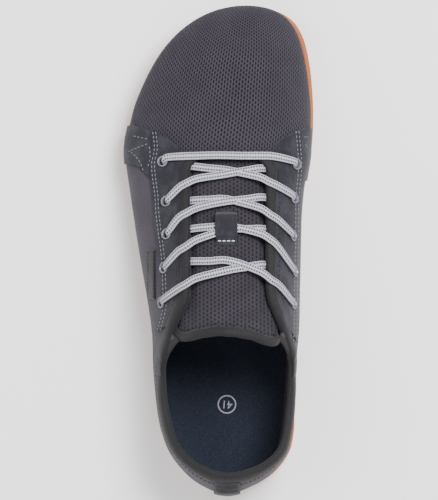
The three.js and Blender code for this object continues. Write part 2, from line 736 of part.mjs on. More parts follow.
function tongueBinding() {
  const half = THROAT_WIDTH / 2 + TONGUE_LAP - 1;
  const corner = BINDING_WIDTH - 1;
  const front = tongueRear + BINDING_WIDTH;
  const outline = [
    new THREE.Vector2(THROAT_CENTRE - half + corner, tongueRear),
    new THREE.Vector2(THROAT_CENTRE + half - corner, tongueRear),
    new THREE.Vector2(THROAT_CENTRE + half, front - 1),
    new THREE.Vector2(THROAT_CENTRE + half, front),
    new THREE.Vector2(THROAT_CENTRE - half, front),
    new THREE.Vector2(THROAT_CENTRE - half, front - 1),
  ];
  const proud = (BINDING_THICKNESS - TONGUE_THICKNESS) / 2;
  return shellBetween(tongueTop - TONGUE_THICKNESS - proud, tongueTop + proud).intersect(
    prism(outline, RIM_HEIGHT * 2, TALL_LIMIT),
  );
}

// Insole: fills the upper's foot shape just above the footbed.
function insole() {
  const slab = layer(
    (y) => footbed(y) + CLEAR,
    (y) => footbed(y) + CLEAR + INSOLE_THICKNESS,
  );
  return form(-UPPER_WALL - CLEAR).intersect(slab);
}

// Collar roll: an oval carried round the ankle at the top edge, in the middle of the wall.
const ANKLE = { at: 0.19, across: THROAT_CENTRE };
const COLLAR_TURN = { from: THREE.MathUtils.degToRad(138), to: THREE.MathUtils.degToRad(402) };

function wallReach(angle, drop) {
  const centre = new THREE.Vector2(ANKLE.across, alongY(ANKLE.at));
  const place = (r) => {
    const x = centre.x + r * Math.cos(angle);
    const y = centre.y + r * Math.sin(angle);
    return new THREE.Vector3(x, y, toplineHeight(shareOf(y)) - drop);
  };
  const inside = (p) => {
    const s = sectionAt(lastShare(p.y));
    if (p.y < lastStart || p.x < s.lateral || p.x > s.medial) return false;
    return p.z < archHeight(p.x, p.y);
  };
  let near = 5;
  let far = HALF;
  for (let i = 0; i < 30; i += 1) {
    const middle = (near + far) / 2;
    if (inside(place(middle))) near = middle;
    else far = middle;
  }
  return place(near);
}

function collar() {
  const drop = COLLAR_HEIGHT / 2;
  const rings = [];
  for (let k = 0; k <= COLLAR_STATIONS; k += 1) {
    const angle = COLLAR_TURN.from + ((COLLAR_TURN.to - COLLAR_TURN.from) * k) / COLLAR_STATIONS;
    const centre = wallReach(angle, drop);
    const along = wallReach(angle + 0.02, drop).sub(wallReach(angle - 0.02, drop)).normalize();
    const lean = wallReach(angle, drop - 2).sub(wallReach(angle, drop + 2));
    const out = new THREE.Vector3(along.y, -along.x, 0).normalize();
    const up = new THREE.Vector3(0, 0, lean.z).addScaledVector(out, lean.dot(out)).normalize();
    centre.addScaledVector(out, -COLLAR_THICKNESS / 2 + SUEDE);
    const ring = [];
    for (let j = 0; j < COLLAR_SIDES; j += 1) {
      const turn = (2 * Math.PI * (j + 0.5)) / COLLAR_SIDES;
      ring.push(
        centre
          .clone()
          .addScaledVector(out, (COLLAR_THICKNESS / 2) * Math.cos(turn))
          .addScaledVector(up, (COLLAR_HEIGHT / 2) * Math.sin(turn)),
      );
    }
    rings.push(ring);
  }
  return loftSolid(rings.map((ring) => ring.toReversed()));
}

// Flat oval lace laid over the last along points { x, y, lift }.
function laceStrap(route) {
  const path = new THREE.CatmullRomCurve3(
    route.map(({ x, y, lift }) => onLast(x, y, lift + LACE_THICKNESS / 2)),
    false,
    "centripetal",
  );
  const rings = [];
  for (let k = 0; k <= LACE_STEPS; k += 1) {
    const centre = path.getPoint(k / LACE_STEPS);
    const along = path.getTangent(k / LACE_STEPS);
    const normal = archNormal(centre.x, centre.y);
    const side = new THREE.Vector3().crossVectors(along, normal).normalize();
    const up = new THREE.Vector3().crossVectors(side, along).normalize();
    const corner = (across, height) =>
      centre
        .clone()
        .addScaledVector(side, (across * LACE_WIDTH) / 2)
        .addScaledVector(up, (height * LACE_THICKNESS) / 2);
    rings.push([
      corner(-1, 0),
      corner(-0.7, 1),
      corner(0.7, 1),
      corner(1, 0),
      corner(0.7, -1),
      corner(-0.7, -1),
    ]);
  }
  return loftSolid(rings);
}

// Strap from under one facing over to the eyelet of the next pair on the other side.
function crossingStrap(sign, { start, middle, edge }, eyeletX, eyeletY) {
  const startX = sign > 0 ? throatLateral + FACING_GAP : throatMedial - FACING_GAP;
  const edgeX = sign > 0 ? throatMedial : throatLateral;
  return laceStrap([
    { x: startX, y: alongY(start), lift: LACE_START_LIFT },
    { x: THROAT_CENTRE, y: alongY(middle), lift: LACE_MIDDLE_LIFT },
    { x: edgeX - sign * LACE_WIDTH, y: alongY((edge + middle) / 2), lift: LACE_REST - SUEDE / 2 },
    { x: edgeX + sign, y: alongY(edge), lift: LACE_REST },
    { x: eyeletX - sign * LACE_STOP, y: eyeletY + LACE_STOP / 2, lift: LACE_REST },
  ]);
}

function crossing({ fromLateral, fromMedial }, next) {
  const toMedial = crossingStrap(1, fromLateral, acrossX(next.medial), alongY(next.medialAt));
  const toLateral = crossingStrap(-1, fromMedial, acrossX(next.lateral), alongY(next.lateralAt));
  return toMedial.add(toLateral);
}

function laceBar() {
  const y = alongY(LACE_BAR_AT);
  const from = acrossX(EYELETS[0].lateral) + LACE_STOP;
  const to = acrossX(EYELETS[0].medial) - LACE_STOP;
  return laceStrap([
    { x: from, y: alongY(EYELETS[0].lateralAt) + 1, lift: LACE_REST },
    { x: throatLateral - 1, y, lift: LACE_REST },
    { x: THROAT_CENTRE, y, lift: LACE_REST - SUEDE },
    { x: throatMedial + 1, y, lift: LACE_REST },
    { x: to, y: alongY(EYELETS[0].medialAt) + 1, lift: LACE_REST },
  ]);
}

// Keeper: a suede tab sewn down at both ends, arched over the third crossing.
function laceKeeper() {
  const low = tongueTop + CLEAR;
  const high = LACE_MIDDLE_LIFT + LACE_THICKNESS + 2 * CLEAR;
  const route = [
    { share: 0, lift: low },
    { share: 0.08, lift: low },
    { share: 0.18, lift: high },
    { share: 0.45, lift: high },
    { share: 0.74, lift: high },
    { share: 0.86, lift: low },
    { share: 1, lift: low },
  ];
  const x = acrossX(KEEPER_ACROSS);
  const back = alongY(KEEPER_BACK);
  const front = alongY(KEEPER_FRONT);
  const rings = route.map(({ share, lift }) => {
    const y = back + (front - back) * share;
    const at = (side, height) => onLast(x + (side * KEEPER_WIDTH) / 2, y, lift + height);
    const thick = KEEPER_THICKNESS;
    return [at(-1, 0), at(-1, thick), at(0, thick), at(1, thick), at(1, 0), at(0, 0)];
  });
  return loftSolid(rings);
}

// Sole outline as pairs of points at the same place along the shoe, pulled in by an inset.
function outlineRing(inset, height) {
  const shares = Array.from(
    { length: SOLE_STATIONS - 1 },
    (_, k) => (1 - Math.cos(((k + 1) * Math.PI) / SOLE_STATIONS)) / 2,
  );
  const plain = [
    new THREE.Vector2(soleMedial(0), alongY(0)),
    ...shares.map((s) => new THREE.Vector2(soleMedial(s), alongY(s))),
    new THREE.Vector2(soleMedial(1), alongY(1)),
    ...shares.toReversed().map((s) => new THREE.Vector2(soleLateral(s), alongY(s))),
  ];
  return plain.map((p, i) => {
    const before = plain.at(i - 1);
    const after = plain[(i + 1) % plain.length];
    const along = after.clone().sub(before).normalize();
    const out = new THREE.Vector2(along.y, -along.x);
    const q = p.clone().addScaledVector(out, -inset);
    return new THREE.Vector3(q.x, q.y, height(p.y));
  });
}

// Solid through outline rings, closed below and above by strips that join each pair of points.
function outlineLoft(rings) {
  const size = rings[0].length;
  const { points, faces } = loft(rings);
  const walls = faces.slice(0, 2 * size * (rings.length - 1));
  const end = (rings.length - 1) * size;
  const caps = [];
  for (let j = 0; j < SOLE_STATIONS; j += 1) {
    const a = j;
    const b = j + 1;
    const c = (size - j - 1) % size;
    const d = (size - j) % size;
    if (c !== b) caps.push([a, c, b], [end + a, end + b, end + c]);
    if (d !== a) caps.push([a, d, c], [end + a, end + c, end + d]);
  }
  return solidOf(points, [...walls, ...caps]);
}

const treadPoint = (along, across) => {
  const c = Math.cos(TREAD_TURN);
  const s = Math.sin(TREAD_TURN);
  return new THREE.Vector2(across * c - along * s, across * s + along * c);
};

// Prism whose lower face follows the underside of the sole.
function lugPrism(outline) {
  const low = outline.map((p) => new THREE.Vector3(p.x, p.y, ground(p.y)));
  const high = low.map((p) => p.clone().setZ(p.z + LUG_DEPTH + LUG_EMBED));
  return loftSolid([low, high]);
}

function insideField(p, margin) {
  const share = shareOf(p.y);
  return p.x > soleLateral(share) + margin && p.x < soleMedial(share) - margin;
}

function lineHeight(line, across) {
  const i = line.findIndex((row, k) => k > 0 && across >= acrossX(row.across));
  if (i < 0) return alongY(line[line.length - 1].at);
  const near = line[i - 1];
  const far = line[i];
  const t = (across - acrossX(near.across)) / (acrossX(far.across) - acrossX(near.across));
  return alongY(near.at + (far.at - near.at) * t);
}

function hexagonLugs() {
  const radius = LUG_WIDTH / Math.sqrt(3);
  const origin = { along: alongY(TREAD_ORIGIN.at), across: acrossX(TREAD_ORIGIN.across) };
  const rows = Math.ceil(LENGTH / LUG_ROW);
  const columns = Math.ceil(BALL_WIDTH / LUG_PITCH);
  const lugs = [];
  for (let row = -rows; row <= rows; row += 1) {
    for (let column = -columns; column <= columns; column += 1) {
      const along = origin.along + row * LUG_ROW;
      const across = origin.across + (column + (row & 1) / 2) * LUG_PITCH;
      const centre = treadPoint(along, across);
      const belowToe = along + radius < lineHeight(TOE_BANDS.line, across);
      const aboveHeel = along - radius > lineHeight(HEEL_BANDS.line, across);
      if (belowToe && aboveHeel && insideField(centre, BORDER + LUG_WIDTH * 0.3)) {
        const outline = [0, 1, 2, 3, 4, 5].map((k) => {
          const turn = (k * Math.PI) / 3 + Math.PI / 6;
          return treadPoint(along + radius * Math.sin(turn), across + radius * Math.cos(turn));
        });
        lugs.push(lugPrism(outline));
      }
    }
  }
  return lugs;
}

// Zigzag bands: each is a raised strip between one zigzag line and the next, less the groove.
function zigzagBands({ count, step, line }) {
  const bands = [];
  const forward = Math.sign(step.along);
  const width = Math.abs(step.along) * LENGTH - BAND_GROOVE;
  for (let k = 0; k < count; k += 1) {
    const near = line.map(({ at, across }) => ({
      along: alongY(at + k * step.along) + forward * BAND_GROOVE,
      across: acrossX(across + k * step.across),
    }));
    const far = near.map(({ along, across }) => ({ along: along + forward * width, across }));
    const rings = near.map((_, i) => {
      const a = treadPoint(near[i].along, near[i].across);
      const b = treadPoint(far[i].along, far[i].across);
      const corner = (p, lift) => new THREE.Vector3(p.x, p.y, ground(p.y) + lift);
      const lift = LUG_DEPTH + LUG_EMBED;
      const ring = [corner(a, 0), corner(a, lift), corner(b, lift), corner(b, 0)];
      return forward > 0 ? ring : ring.toReversed();
    });
    bands.push(loftSolid(rings));
  }
  return bands;
}

// Outsole: cupsole with a stepped side, hollowed by the last down to the footbed.
function outsole() {
  const step = (y) => rim(y) - SIDE_STEP_DROP;
  const shell = outlineLoft([
    outlineRing(BORDER, (y) => ground(y) + LUG_DEPTH),
    outlineRing(BORDER, ground),
    outlineRing(SIDE_STEP * 2, ground),
    outlineRing(0, (y) => ground(y) + STACK_HEIGHT),
    outlineRing(0, step),
    outlineRing(SIDE_STEP / 2, (y) => step(y) + SIDE_STEP_RISE),
    outlineRing(SIDE_STEP, rim),
  ]);
  const cup = form(CLEAR).intersect(layer(footbed, () => TALL_LIMIT));
  const inner = outlineRing(BORDER - 1, () => 0).map((p) => new THREE.Vector2(p.x, p.y));
  const bands = [...zigzagBands(TOE_BANDS), ...zigzagBands(HEEL_BANDS)]
    .reduce((all, band) => all.add(band))
    .intersect(prism(inner, -1, INSTEP_HEIGHT));
  return hexagonLugs()
    .reduce((all, lug) => all.add(lug), shell.subtract(cup))
    .add(bands);
}

// Assembly
const group = new THREE.Group();

function add(name, solid, material) {
  const mesh = new THREE.Mesh(geometryOf(solid), material);
  mesh.name = name;
  group.add(mesh);
}

add("outsole", outsole(), MATERIALS.gum);
add("upper", upper(), MATERIALS.knit);
add("eyestay_lateral", eyestay(EYESTAY_LATERAL), MATERIALS.suede);
add("eyestay_medial", eyestay(EYESTAY_MEDIAL), MATERIALS.suede);
add("heel_strip", heelStrip(), MATERIALS.suede);
add("collar", collar(), MATERIALS.lining);
add("tongue", tongue(), MATERIALS.knit);
add("tongue_binding", tongueBinding(), MATERIALS.lining);
add("lace_keeper", laceKeeper(), MATERIALS.suede);
add("insole", insole(), MATERIALS.insole);
add("side_label", sideLabel(), MATERIALS.label);
eyeletPlaces().forEach(({ name, x, y }) => add(name, eyelet(x, y), MATERIALS.eyelet));
add("lace_bar_1", laceBar(), MATERIALS.lace);
CROSSINGS.forEach((straps, i) => {
  add(`lace_cross_${i + 1}`, crossing(straps, EYELETS[i + 1]), MATERIALS.lace);
});

// The origin lies on the floor under the middle of the shoe's box.
const box = new THREE.Box3().setFromObject(group);
const middle = box.getCenter(new THREE.Vector3());
group.position.set(-middle.x, -middle.y, -box.min.z);

export default group;
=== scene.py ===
"""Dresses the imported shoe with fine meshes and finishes: a low barefoot sports shoe for the left foot.

Inside the classes lengths are millimetres in the frame that the solids were drawn in: X from the
lateral to the medial side, Y from heel to toe, Z up. Place.metres moves them to the row frame.
"""
import logging
import math
from dataclasses import dataclass, field
from enum import Enum
from functools import cached_property
from typing import Sequence

import bmesh
import bpy
import numpy as np
from mathutils import Matrix, Vector


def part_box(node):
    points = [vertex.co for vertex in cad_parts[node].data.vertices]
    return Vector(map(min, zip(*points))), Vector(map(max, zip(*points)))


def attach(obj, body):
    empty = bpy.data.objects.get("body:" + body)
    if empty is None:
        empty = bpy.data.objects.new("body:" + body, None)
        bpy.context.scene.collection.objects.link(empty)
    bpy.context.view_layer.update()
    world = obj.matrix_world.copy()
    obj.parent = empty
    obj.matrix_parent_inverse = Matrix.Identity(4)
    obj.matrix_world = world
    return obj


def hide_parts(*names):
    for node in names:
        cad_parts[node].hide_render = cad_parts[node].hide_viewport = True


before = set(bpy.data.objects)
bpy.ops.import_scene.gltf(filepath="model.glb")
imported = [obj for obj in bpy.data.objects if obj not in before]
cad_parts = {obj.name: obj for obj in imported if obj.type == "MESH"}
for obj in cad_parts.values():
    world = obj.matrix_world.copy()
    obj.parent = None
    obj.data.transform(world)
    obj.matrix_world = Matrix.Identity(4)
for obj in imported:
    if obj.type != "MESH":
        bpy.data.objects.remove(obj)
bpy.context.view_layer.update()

LOG = logging.getLogger("shoe")
Points = np.ndarray
Rows = tuple[tuple[float, float], ...]

LENGTH, BALL, HEEL, INSTEP, TOE, HEEL_TOP = 276.0, 108.0, 78.0, 88.0, 38.0, 69.0
BULGE, STACK, RIM, CLEAR, WALL, SUEDE = 26.0, 5.0, 11.0, 0.3, 2.0, 1.2
THROAT_X, THROAT_HALF, THROAT_Y, THROAT_CORNER = 5.2, 21.8, 51.6, 9.0
TOE_SPRING, TOE_SPRING_START, TOE_SPRING_SPAN = 9.0, 0.72, 0.28
HEEL_SPRING, HEEL_SPRING_SPAN = 3.0, 0.06
ARCH_RISE, ARCH_START, ARCH_SPAN = 1.2, 0.3, 0.24
TONE_LIFT, TONE_POWER, TONE_LIMIT = 1.35, 1.7, 0.9
HALF_LENGTH = LENGTH / 2


def unit(vectors: Points) -> Points:
    """Vectors brought to a length of 1."""
    return vectors / np.maximum(np.linalg.norm(vectors, axis=-1, keepdims=True), 1e-9)


def along(share: float) -> float:
    """Place along the shoe, in millimetres, of a share of its length."""
    return (share - 0.5) * LENGTH


def flat_array(*columns: Sequence[float]) -> Points:
    """Points from columns of x, y and z that are spread to one length."""
    return np.stack(np.broadcast_arrays(*[np.asarray(c, float) for c in columns]), axis=-1)


class Curve:
    """A value along the shoe, joined without overshoot over the half-turn angle of the share."""

    def __init__(
        self, shares: Sequence[float], values: Sequence[float], scale: float | Sequence[float] = 1.0
    ) -> None:
        """Sets the knots and their slopes.

        Args:
            shares: places along the shoe, from 0 at the heel to 1 at the toe.
            values: the value at each place.
            scale: one factor for all values, or one for each.
        """
        self.angles = np.arccos(1 - 2 * np.asarray(shares, float))
        self.values = np.asarray(values, float) * np.asarray(scale, float)
        steps = np.diff(self.values) / np.diff(self.angles)
        before, after = steps[:-1], steps[1:]
        same = before * after > 0
        total = np.where(same, before + after, 1.0)
        inner = np.where(same, 2 * before * after / total, 0.0)
        self.slopes = np.concatenate(([steps[0]], inner, [steps[-1]]))

    def __call__(self, share: Points | float) -> Points:
        """The value at one or more shares of the length."""
        angle = np.arccos(1 - 2 * np.clip(share, 0, 1))
        i = np.clip(np.searchsorted(self.angles, angle) - 1, 0, len(self.angles) - 2)
        width = self.angles[i + 1] - self.angles[i]
        t = (angle - self.angles[i]) / width
        far = t * t * (3 - 2 * t)
        bend = self.slopes[i] * t * (1 - t) ** 2 - self.slopes[i + 1] * t * t * (1 - t)
        return self.values[i] * (1 - far) + self.values[i + 1] * far + width * bend


PLAN_AT = (0, 0.01, 0.04, 0.1, 0.16, 0.25, 0.35, 0.45, 0.55, 0.62, 0.7, 0.78, 0.84, 0.91, 0.96, 0.99, 1)
PLAN_OF = (HEEL,) * 6 + (BALL,) * 11
HEIGHT_AT = (0, 0.01, 0.04, 0.1, 0.17, 0.25, 0.34, 0.42, 0.5, 0.6, 0.7, 0.8, 0.9, 0.96, 0.99, 1)
HEIGHT_OF = (HEEL_TOP,) * 6 + (INSTEP,) * 5 + (TOE,) * 5


@dataclass
class Last:
    """The foot form that the upper is pulled over, as a level that is zero on its surface."""

    start: float = -138.4
    length: float = 275.6
    tuck: float = 15.0
    tuck_depth: float = 12.0
    heel_centre: float = -86.0
    toe_centre: float = 92.0
    lateral: Curve = Curve(
        PLAN_AT,
        (0.06, -0.08, -0.235, -0.384, -0.44, -0.475)
        + (-0.359, -0.396, -0.436, -0.466, -0.49, -0.452, -0.394, -0.292, -0.164, -0.018, 0.14),
        PLAN_OF,
    )
    medial: Curve = Curve(
        PLAN_AT,
        (0.06, 0.2, 0.378, 0.518, 0.542, 0.565)
        + (0.424, 0.426, 0.432, 0.447, 0.477, 0.483, 0.47, 0.438, 0.385, 0.29, 0.14),
        PLAN_OF,
    )
    ridge: Curve = Curve(
        PLAN_AT,
        (0.06,) * 6 + (0.046, 0.046, 0.046, 0.05, 0.06, 0.085, 0.1, 0.12, 0.13, 0.14, 0.14),
        PLAN_OF,
    )
    crown: Curve = Curve(
        HEIGHT_AT,
        (0.4, 0.68, 1, 1.42, 1.52, 1.45, 1, 0.91, 0.82, 0.69, 0.555, 1.08, 0.985, 0.91, 0.8, 0.684),
        HEIGHT_OF,
    )
    wide: Curve = Curve(
        HEIGHT_AT,
        (1.06, 1.06, 1.05, 1.02, 0.98, 0.94, 0.92, 0.88, 0.84, 0.78, 0.74, 0.78, 0.88, 0.96, 1, 1),
        BULGE,
    )
    base: Curve = Curve(
        HEIGHT_AT,
        (1.06, 0.66, -0.05) + (-0.46,) * 10 + (0.08, 0.77, 1),
        BULGE,
    )
    round_lateral: Curve = Curve(
        HEIGHT_AT, (2, 2, 2, 2, 1.9, 1.9, 1.85, 1.85, 1.85, 1.9, 2, 2.2, 2.2, 2, 2, 2)
    )
    round_medial: Curve = Curve(
        HEIGHT_AT, (2, 2, 2.2, 2.4, 2.5, 2.4, 2.2, 2.1, 2.1, 2.1, 2.2, 2.3, 2.2, 2, 2, 2)
    )
    probe: float = 0.4
    halvings: int = 28

    def share(self, y: Points) -> Points:
        """Share of the form's length at a place along it."""
        return np.clip((y - self.start) / self.length, 0, 1)

    def section(self, share: Points, x: Points) -> tuple[Points, Points, Points]:
        """Ridge, half width and roundness at a share of the length, on the side that x lies on."""
        ridge = self.ridge(share)
        outside = x < ridge
        half = np.abs(np.where(outside, self.lateral(share), self.medial(share)) - ridge)
        power = np.where(outside, self.round_lateral(share), self.round_medial(share))
        return ridge, np.maximum(half, 1e-3), power

    def level(self, points: Points) -> Points:
        """How far out points lie, as a share of the way from the axis.

        Args:
            points: rows of x, y and z.

        Returns:
            One number a point: 0 on the surface, negative inside, positive outside.
        """
        x, y, z = np.moveaxis(points, -1, 0)
        share = self.share(y)
        crown, wide, base = self.crown(share), self.wide(share), self.base(share)
        ridge, half, power = self.section(share, x)
        across = np.abs(x - ridge) / half
        up = np.maximum(z - wide, 0) / np.maximum(crown - wide, 1e-3)
        high = (across**power + up**power) ** (1 / power) - 1
        depth = np.maximum(wide - base, 1e-3)
        down = np.maximum(wide - z, 0) / depth
        tuck = self.tuck * depth / (BULGE + self.tuck_depth)
        low = across * half / np.maximum(half - tuck * np.minimum(down, 1) ** 1.5, 1e-3) - 1
        end = np.maximum(np.maximum(self.start - y, y - self.start - self.length), 0)
        return np.where(z >= wide, high, np.maximum(low, down - 1)) + end

    def reach(self, origins: Points, toward: Points) -> Points:
        """Where rays leave the form, within four times the distance to the given points.

        Args:
            origins: points inside the form.
            toward: points that the rays pass through.

        Returns:
            The points on the surface.
        """
        near = np.zeros(origins.shape[:-1])
        limit = np.full(origins.shape[:-1], 4.0)
        for _ in range(self.halvings):
            middle = (near + limit) / 2
            inside = self.level(origins + (toward - origins) * middle[..., None]) < 0
            near = np.where(inside, middle, near)
            limit = np.where(inside, limit, middle)
        return origins + (toward - origins) * near[..., None]

    def centre(self, points: Points) -> Points:
        """Points of the form's axis that rays to these points start from."""
        y = np.clip(points[..., 1], self.heel_centre, self.toe_centre)
        share = (y - self.start) / self.length
        return flat_array(self.ridge(share), y, self.wide(share))

    def normal(self, points: Points) -> Points:
        """Outward directions at points near the surface."""
        steps = self.probe * np.eye(3)
        return unit(np.stack([self.level(points + s) - self.level(points - s) for s in steps], axis=-1))

    def onto(self, points: Points, lift: Points | float = 0.0) -> Points:
        """Points brought onto the surface from the axis, then lifted off it.

        Args:
            points: rows of x, y and z near the surface.
            lift: height above the surface, one for all or one a point.

        Returns:
            The points on the lifted surface.
        """
        placed = self.reach(self.centre(points), points)
        return placed + self.normal(placed) * np.asarray(lift, float)[..., None]

    def above(self, x: Points | float, y: Points | float, lift: Points | float = 0.0) -> Points:
        """Points of the upper side straight above places of the plan, lifted off it."""
        x, y = np.broadcast_arrays(np.asarray(x, float), np.asarray(y, float))
        share = self.share(y)
        wide, crown = self.wide(share), self.crown(share)
        ridge, half, power = self.section(share, x)
        across = np.minimum(np.abs(x - ridge) / half, 0.999)
        placed = flat_array(x, y, wide + (crown - wide) * (1 - across**power) ** (1 / power))
        return placed + self.normal(placed) * np.asarray(lift, float)[..., None]

    def side(self, y: Points | float, z: Points | float, hand: int, lift: float = 0.0) -> Points:
        """Points of the flank at given heights; hand is -1 on the lateral side, 1 on the medial."""
        y, z = np.broadcast_arrays(np.asarray(y, float), np.asarray(z, float))
        start = flat_array(self.ridge(self.share(y)), y, z)
        placed = self.reach(start, start + [20.0 * hand, 0, 0])
        return placed + self.normal(placed) * lift


SOLE_LATERAL = Curve(
    PLAN_AT,
    (0.06, -0.1, -0.262, -0.386, -0.436, -0.47)
    + (-0.356, -0.394, -0.444, -0.478, -0.5, -0.462, -0.405, -0.302, -0.176, -0.03, 0.14),
    PLAN_OF,
)
SOLE_MEDIAL = Curve(
    PLAN_AT,
    (0.06, 0.235, 0.415, 0.54, 0.56, 0.54)
    + (0.386, 0.4, 0.43, 0.465, 0.5, 0.505, 0.497, 0.47, 0.415, 0.312, 0.14),
    PLAN_OF,
)
TOPLINE = Curve(
    (0, 0.06, 0.13, 0.2, 0.26, 0.31, 0.35, 0.4, 1),
    (1, 0.985, 0.88, 0.81, 0.85, 1, 1.2, 1.6, 1.6),
    HEEL_TOP,
)


def share_of(y: Points | float) -> Points:
    """Share of the shoe's length at a place along it."""
    return np.clip(np.asarray(y, float) / LENGTH + 0.5, 0, 1)


def ground(y: Points | float) -> Points:
    """Height of the underside: flat under heel and ball, raised at the toe, heel edge and arch."""
    share = share_of(y)
    toe = TOE_SPRING * (np.maximum(share - TOE_SPRING_START, 0) / TOE_SPRING_SPAN) ** 2
    heel = HEEL_SPRING * np.maximum(1 - share / HEEL_SPRING_SPAN, 0) ** 2
    arch = ARCH_RISE * np.sin(math.pi * np.clip((share - ARCH_START) / ARCH_SPAN, 0, 1)) ** 2
    return toe + heel + arch


def footbed(y: Points | float) -> Points:
    """Height of the inside floor of the sole."""
    return ground(y) + STACK


def rim(y: Points | float) -> Points:
    """Height of the sole's upper edge."""
    return ground(y) + RIM + 2 * np.abs(2 * share_of(y) - 1) ** 3


def lengths(path: Points) -> Points:
    """How far along a path each of its points lies."""
    return np.concatenate([[0], np.cumsum(np.linalg.norm(np.diff(path, axis=0), axis=1))])


def tube_map(path: Points, around: Points, start: float = 0.0) -> Points:
    """UV in millimetres of a tube: round it, and along a path from a start."""
    return np.stack(np.meshgrid(lengths(path) + start, around, indexing="ij")[::-1], axis=-1)


def resample(points: Points, count: int) -> Points:
    """Evenly spaced points of a polyline.

    Args:
        points: rows of x, y, z, or of any number of values that start with a place.
        count: how many points to return.

    Returns:
        The new points.
    """
    points = np.asarray(points, float)
    reached = lengths(points[:, :3])
    wanted = np.linspace(0, reached[-1], count)
    return np.stack([np.interp(wanted, reached, column) for column in points.T], axis=-1)


def smooth_line(points: Sequence[Sequence[float]], count: int) -> Points:
    """Smooth curve through a few points, evenly spaced along it.

    Args:
        points: the points to pass through.
        count: how many points to return.

    Returns:
        Rows of as many values as each given point has.
    """
    knots = np.asarray(points, float)
    ends = np.concatenate([[2 * knots[0] - knots[1]], knots, [2 * knots[-1] - knots[-2]]])
    pieces = []
    for a, b, c, d in zip(ends, ends[1:], ends[2:], ends[3:]):
        t = np.linspace(0, 1, 16, endpoint=False)[:, None]
        square, cube = 2 * a - 5 * b + 4 * c - d, 3 * b - a - 3 * c + d
        pieces.append(0.5 * (2 * b + (c - a) * t + square * t**2 + cube * t**3))
    return resample(np.concatenate(pieces + [knots[-1:]]), count)


def bump_of(values: Points, width: float) -> Points:
    """Soft bell of height 1 that is nearly gone at one and a half widths."""
    return np.exp(-((np.asarray(values, float) / width) ** 2))


@dataclass
class Place:
    """The move from the drawing frame to the row frame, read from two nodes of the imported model."""

    sole_node: str = "outsole"
    strip_node: str = "heel_strip"
    strip_centre: float = 0.06 * HEEL

    @cached_property
    def shift(self) -> Points:
        """The move in millimetres."""
        nodes = (self.sole_node, self.strip_node)
        sole, strip = (np.array(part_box(node)).mean(axis=0) * 1000 for node in nodes)
        return np.array([strip[0] - self.strip_centre, sole[1], 0.0])

    def metres(self, points: Points) -> Points:
        """Points in metres of the row frame."""
        return (np.asarray(points, float) + self.shift) / 1000


LAST = Last()
PLACE = Place()


class Edge(Enum):
    """How a finished mesh is shaded."""

    SOFT = "soft"
    CRISP = "crisp"


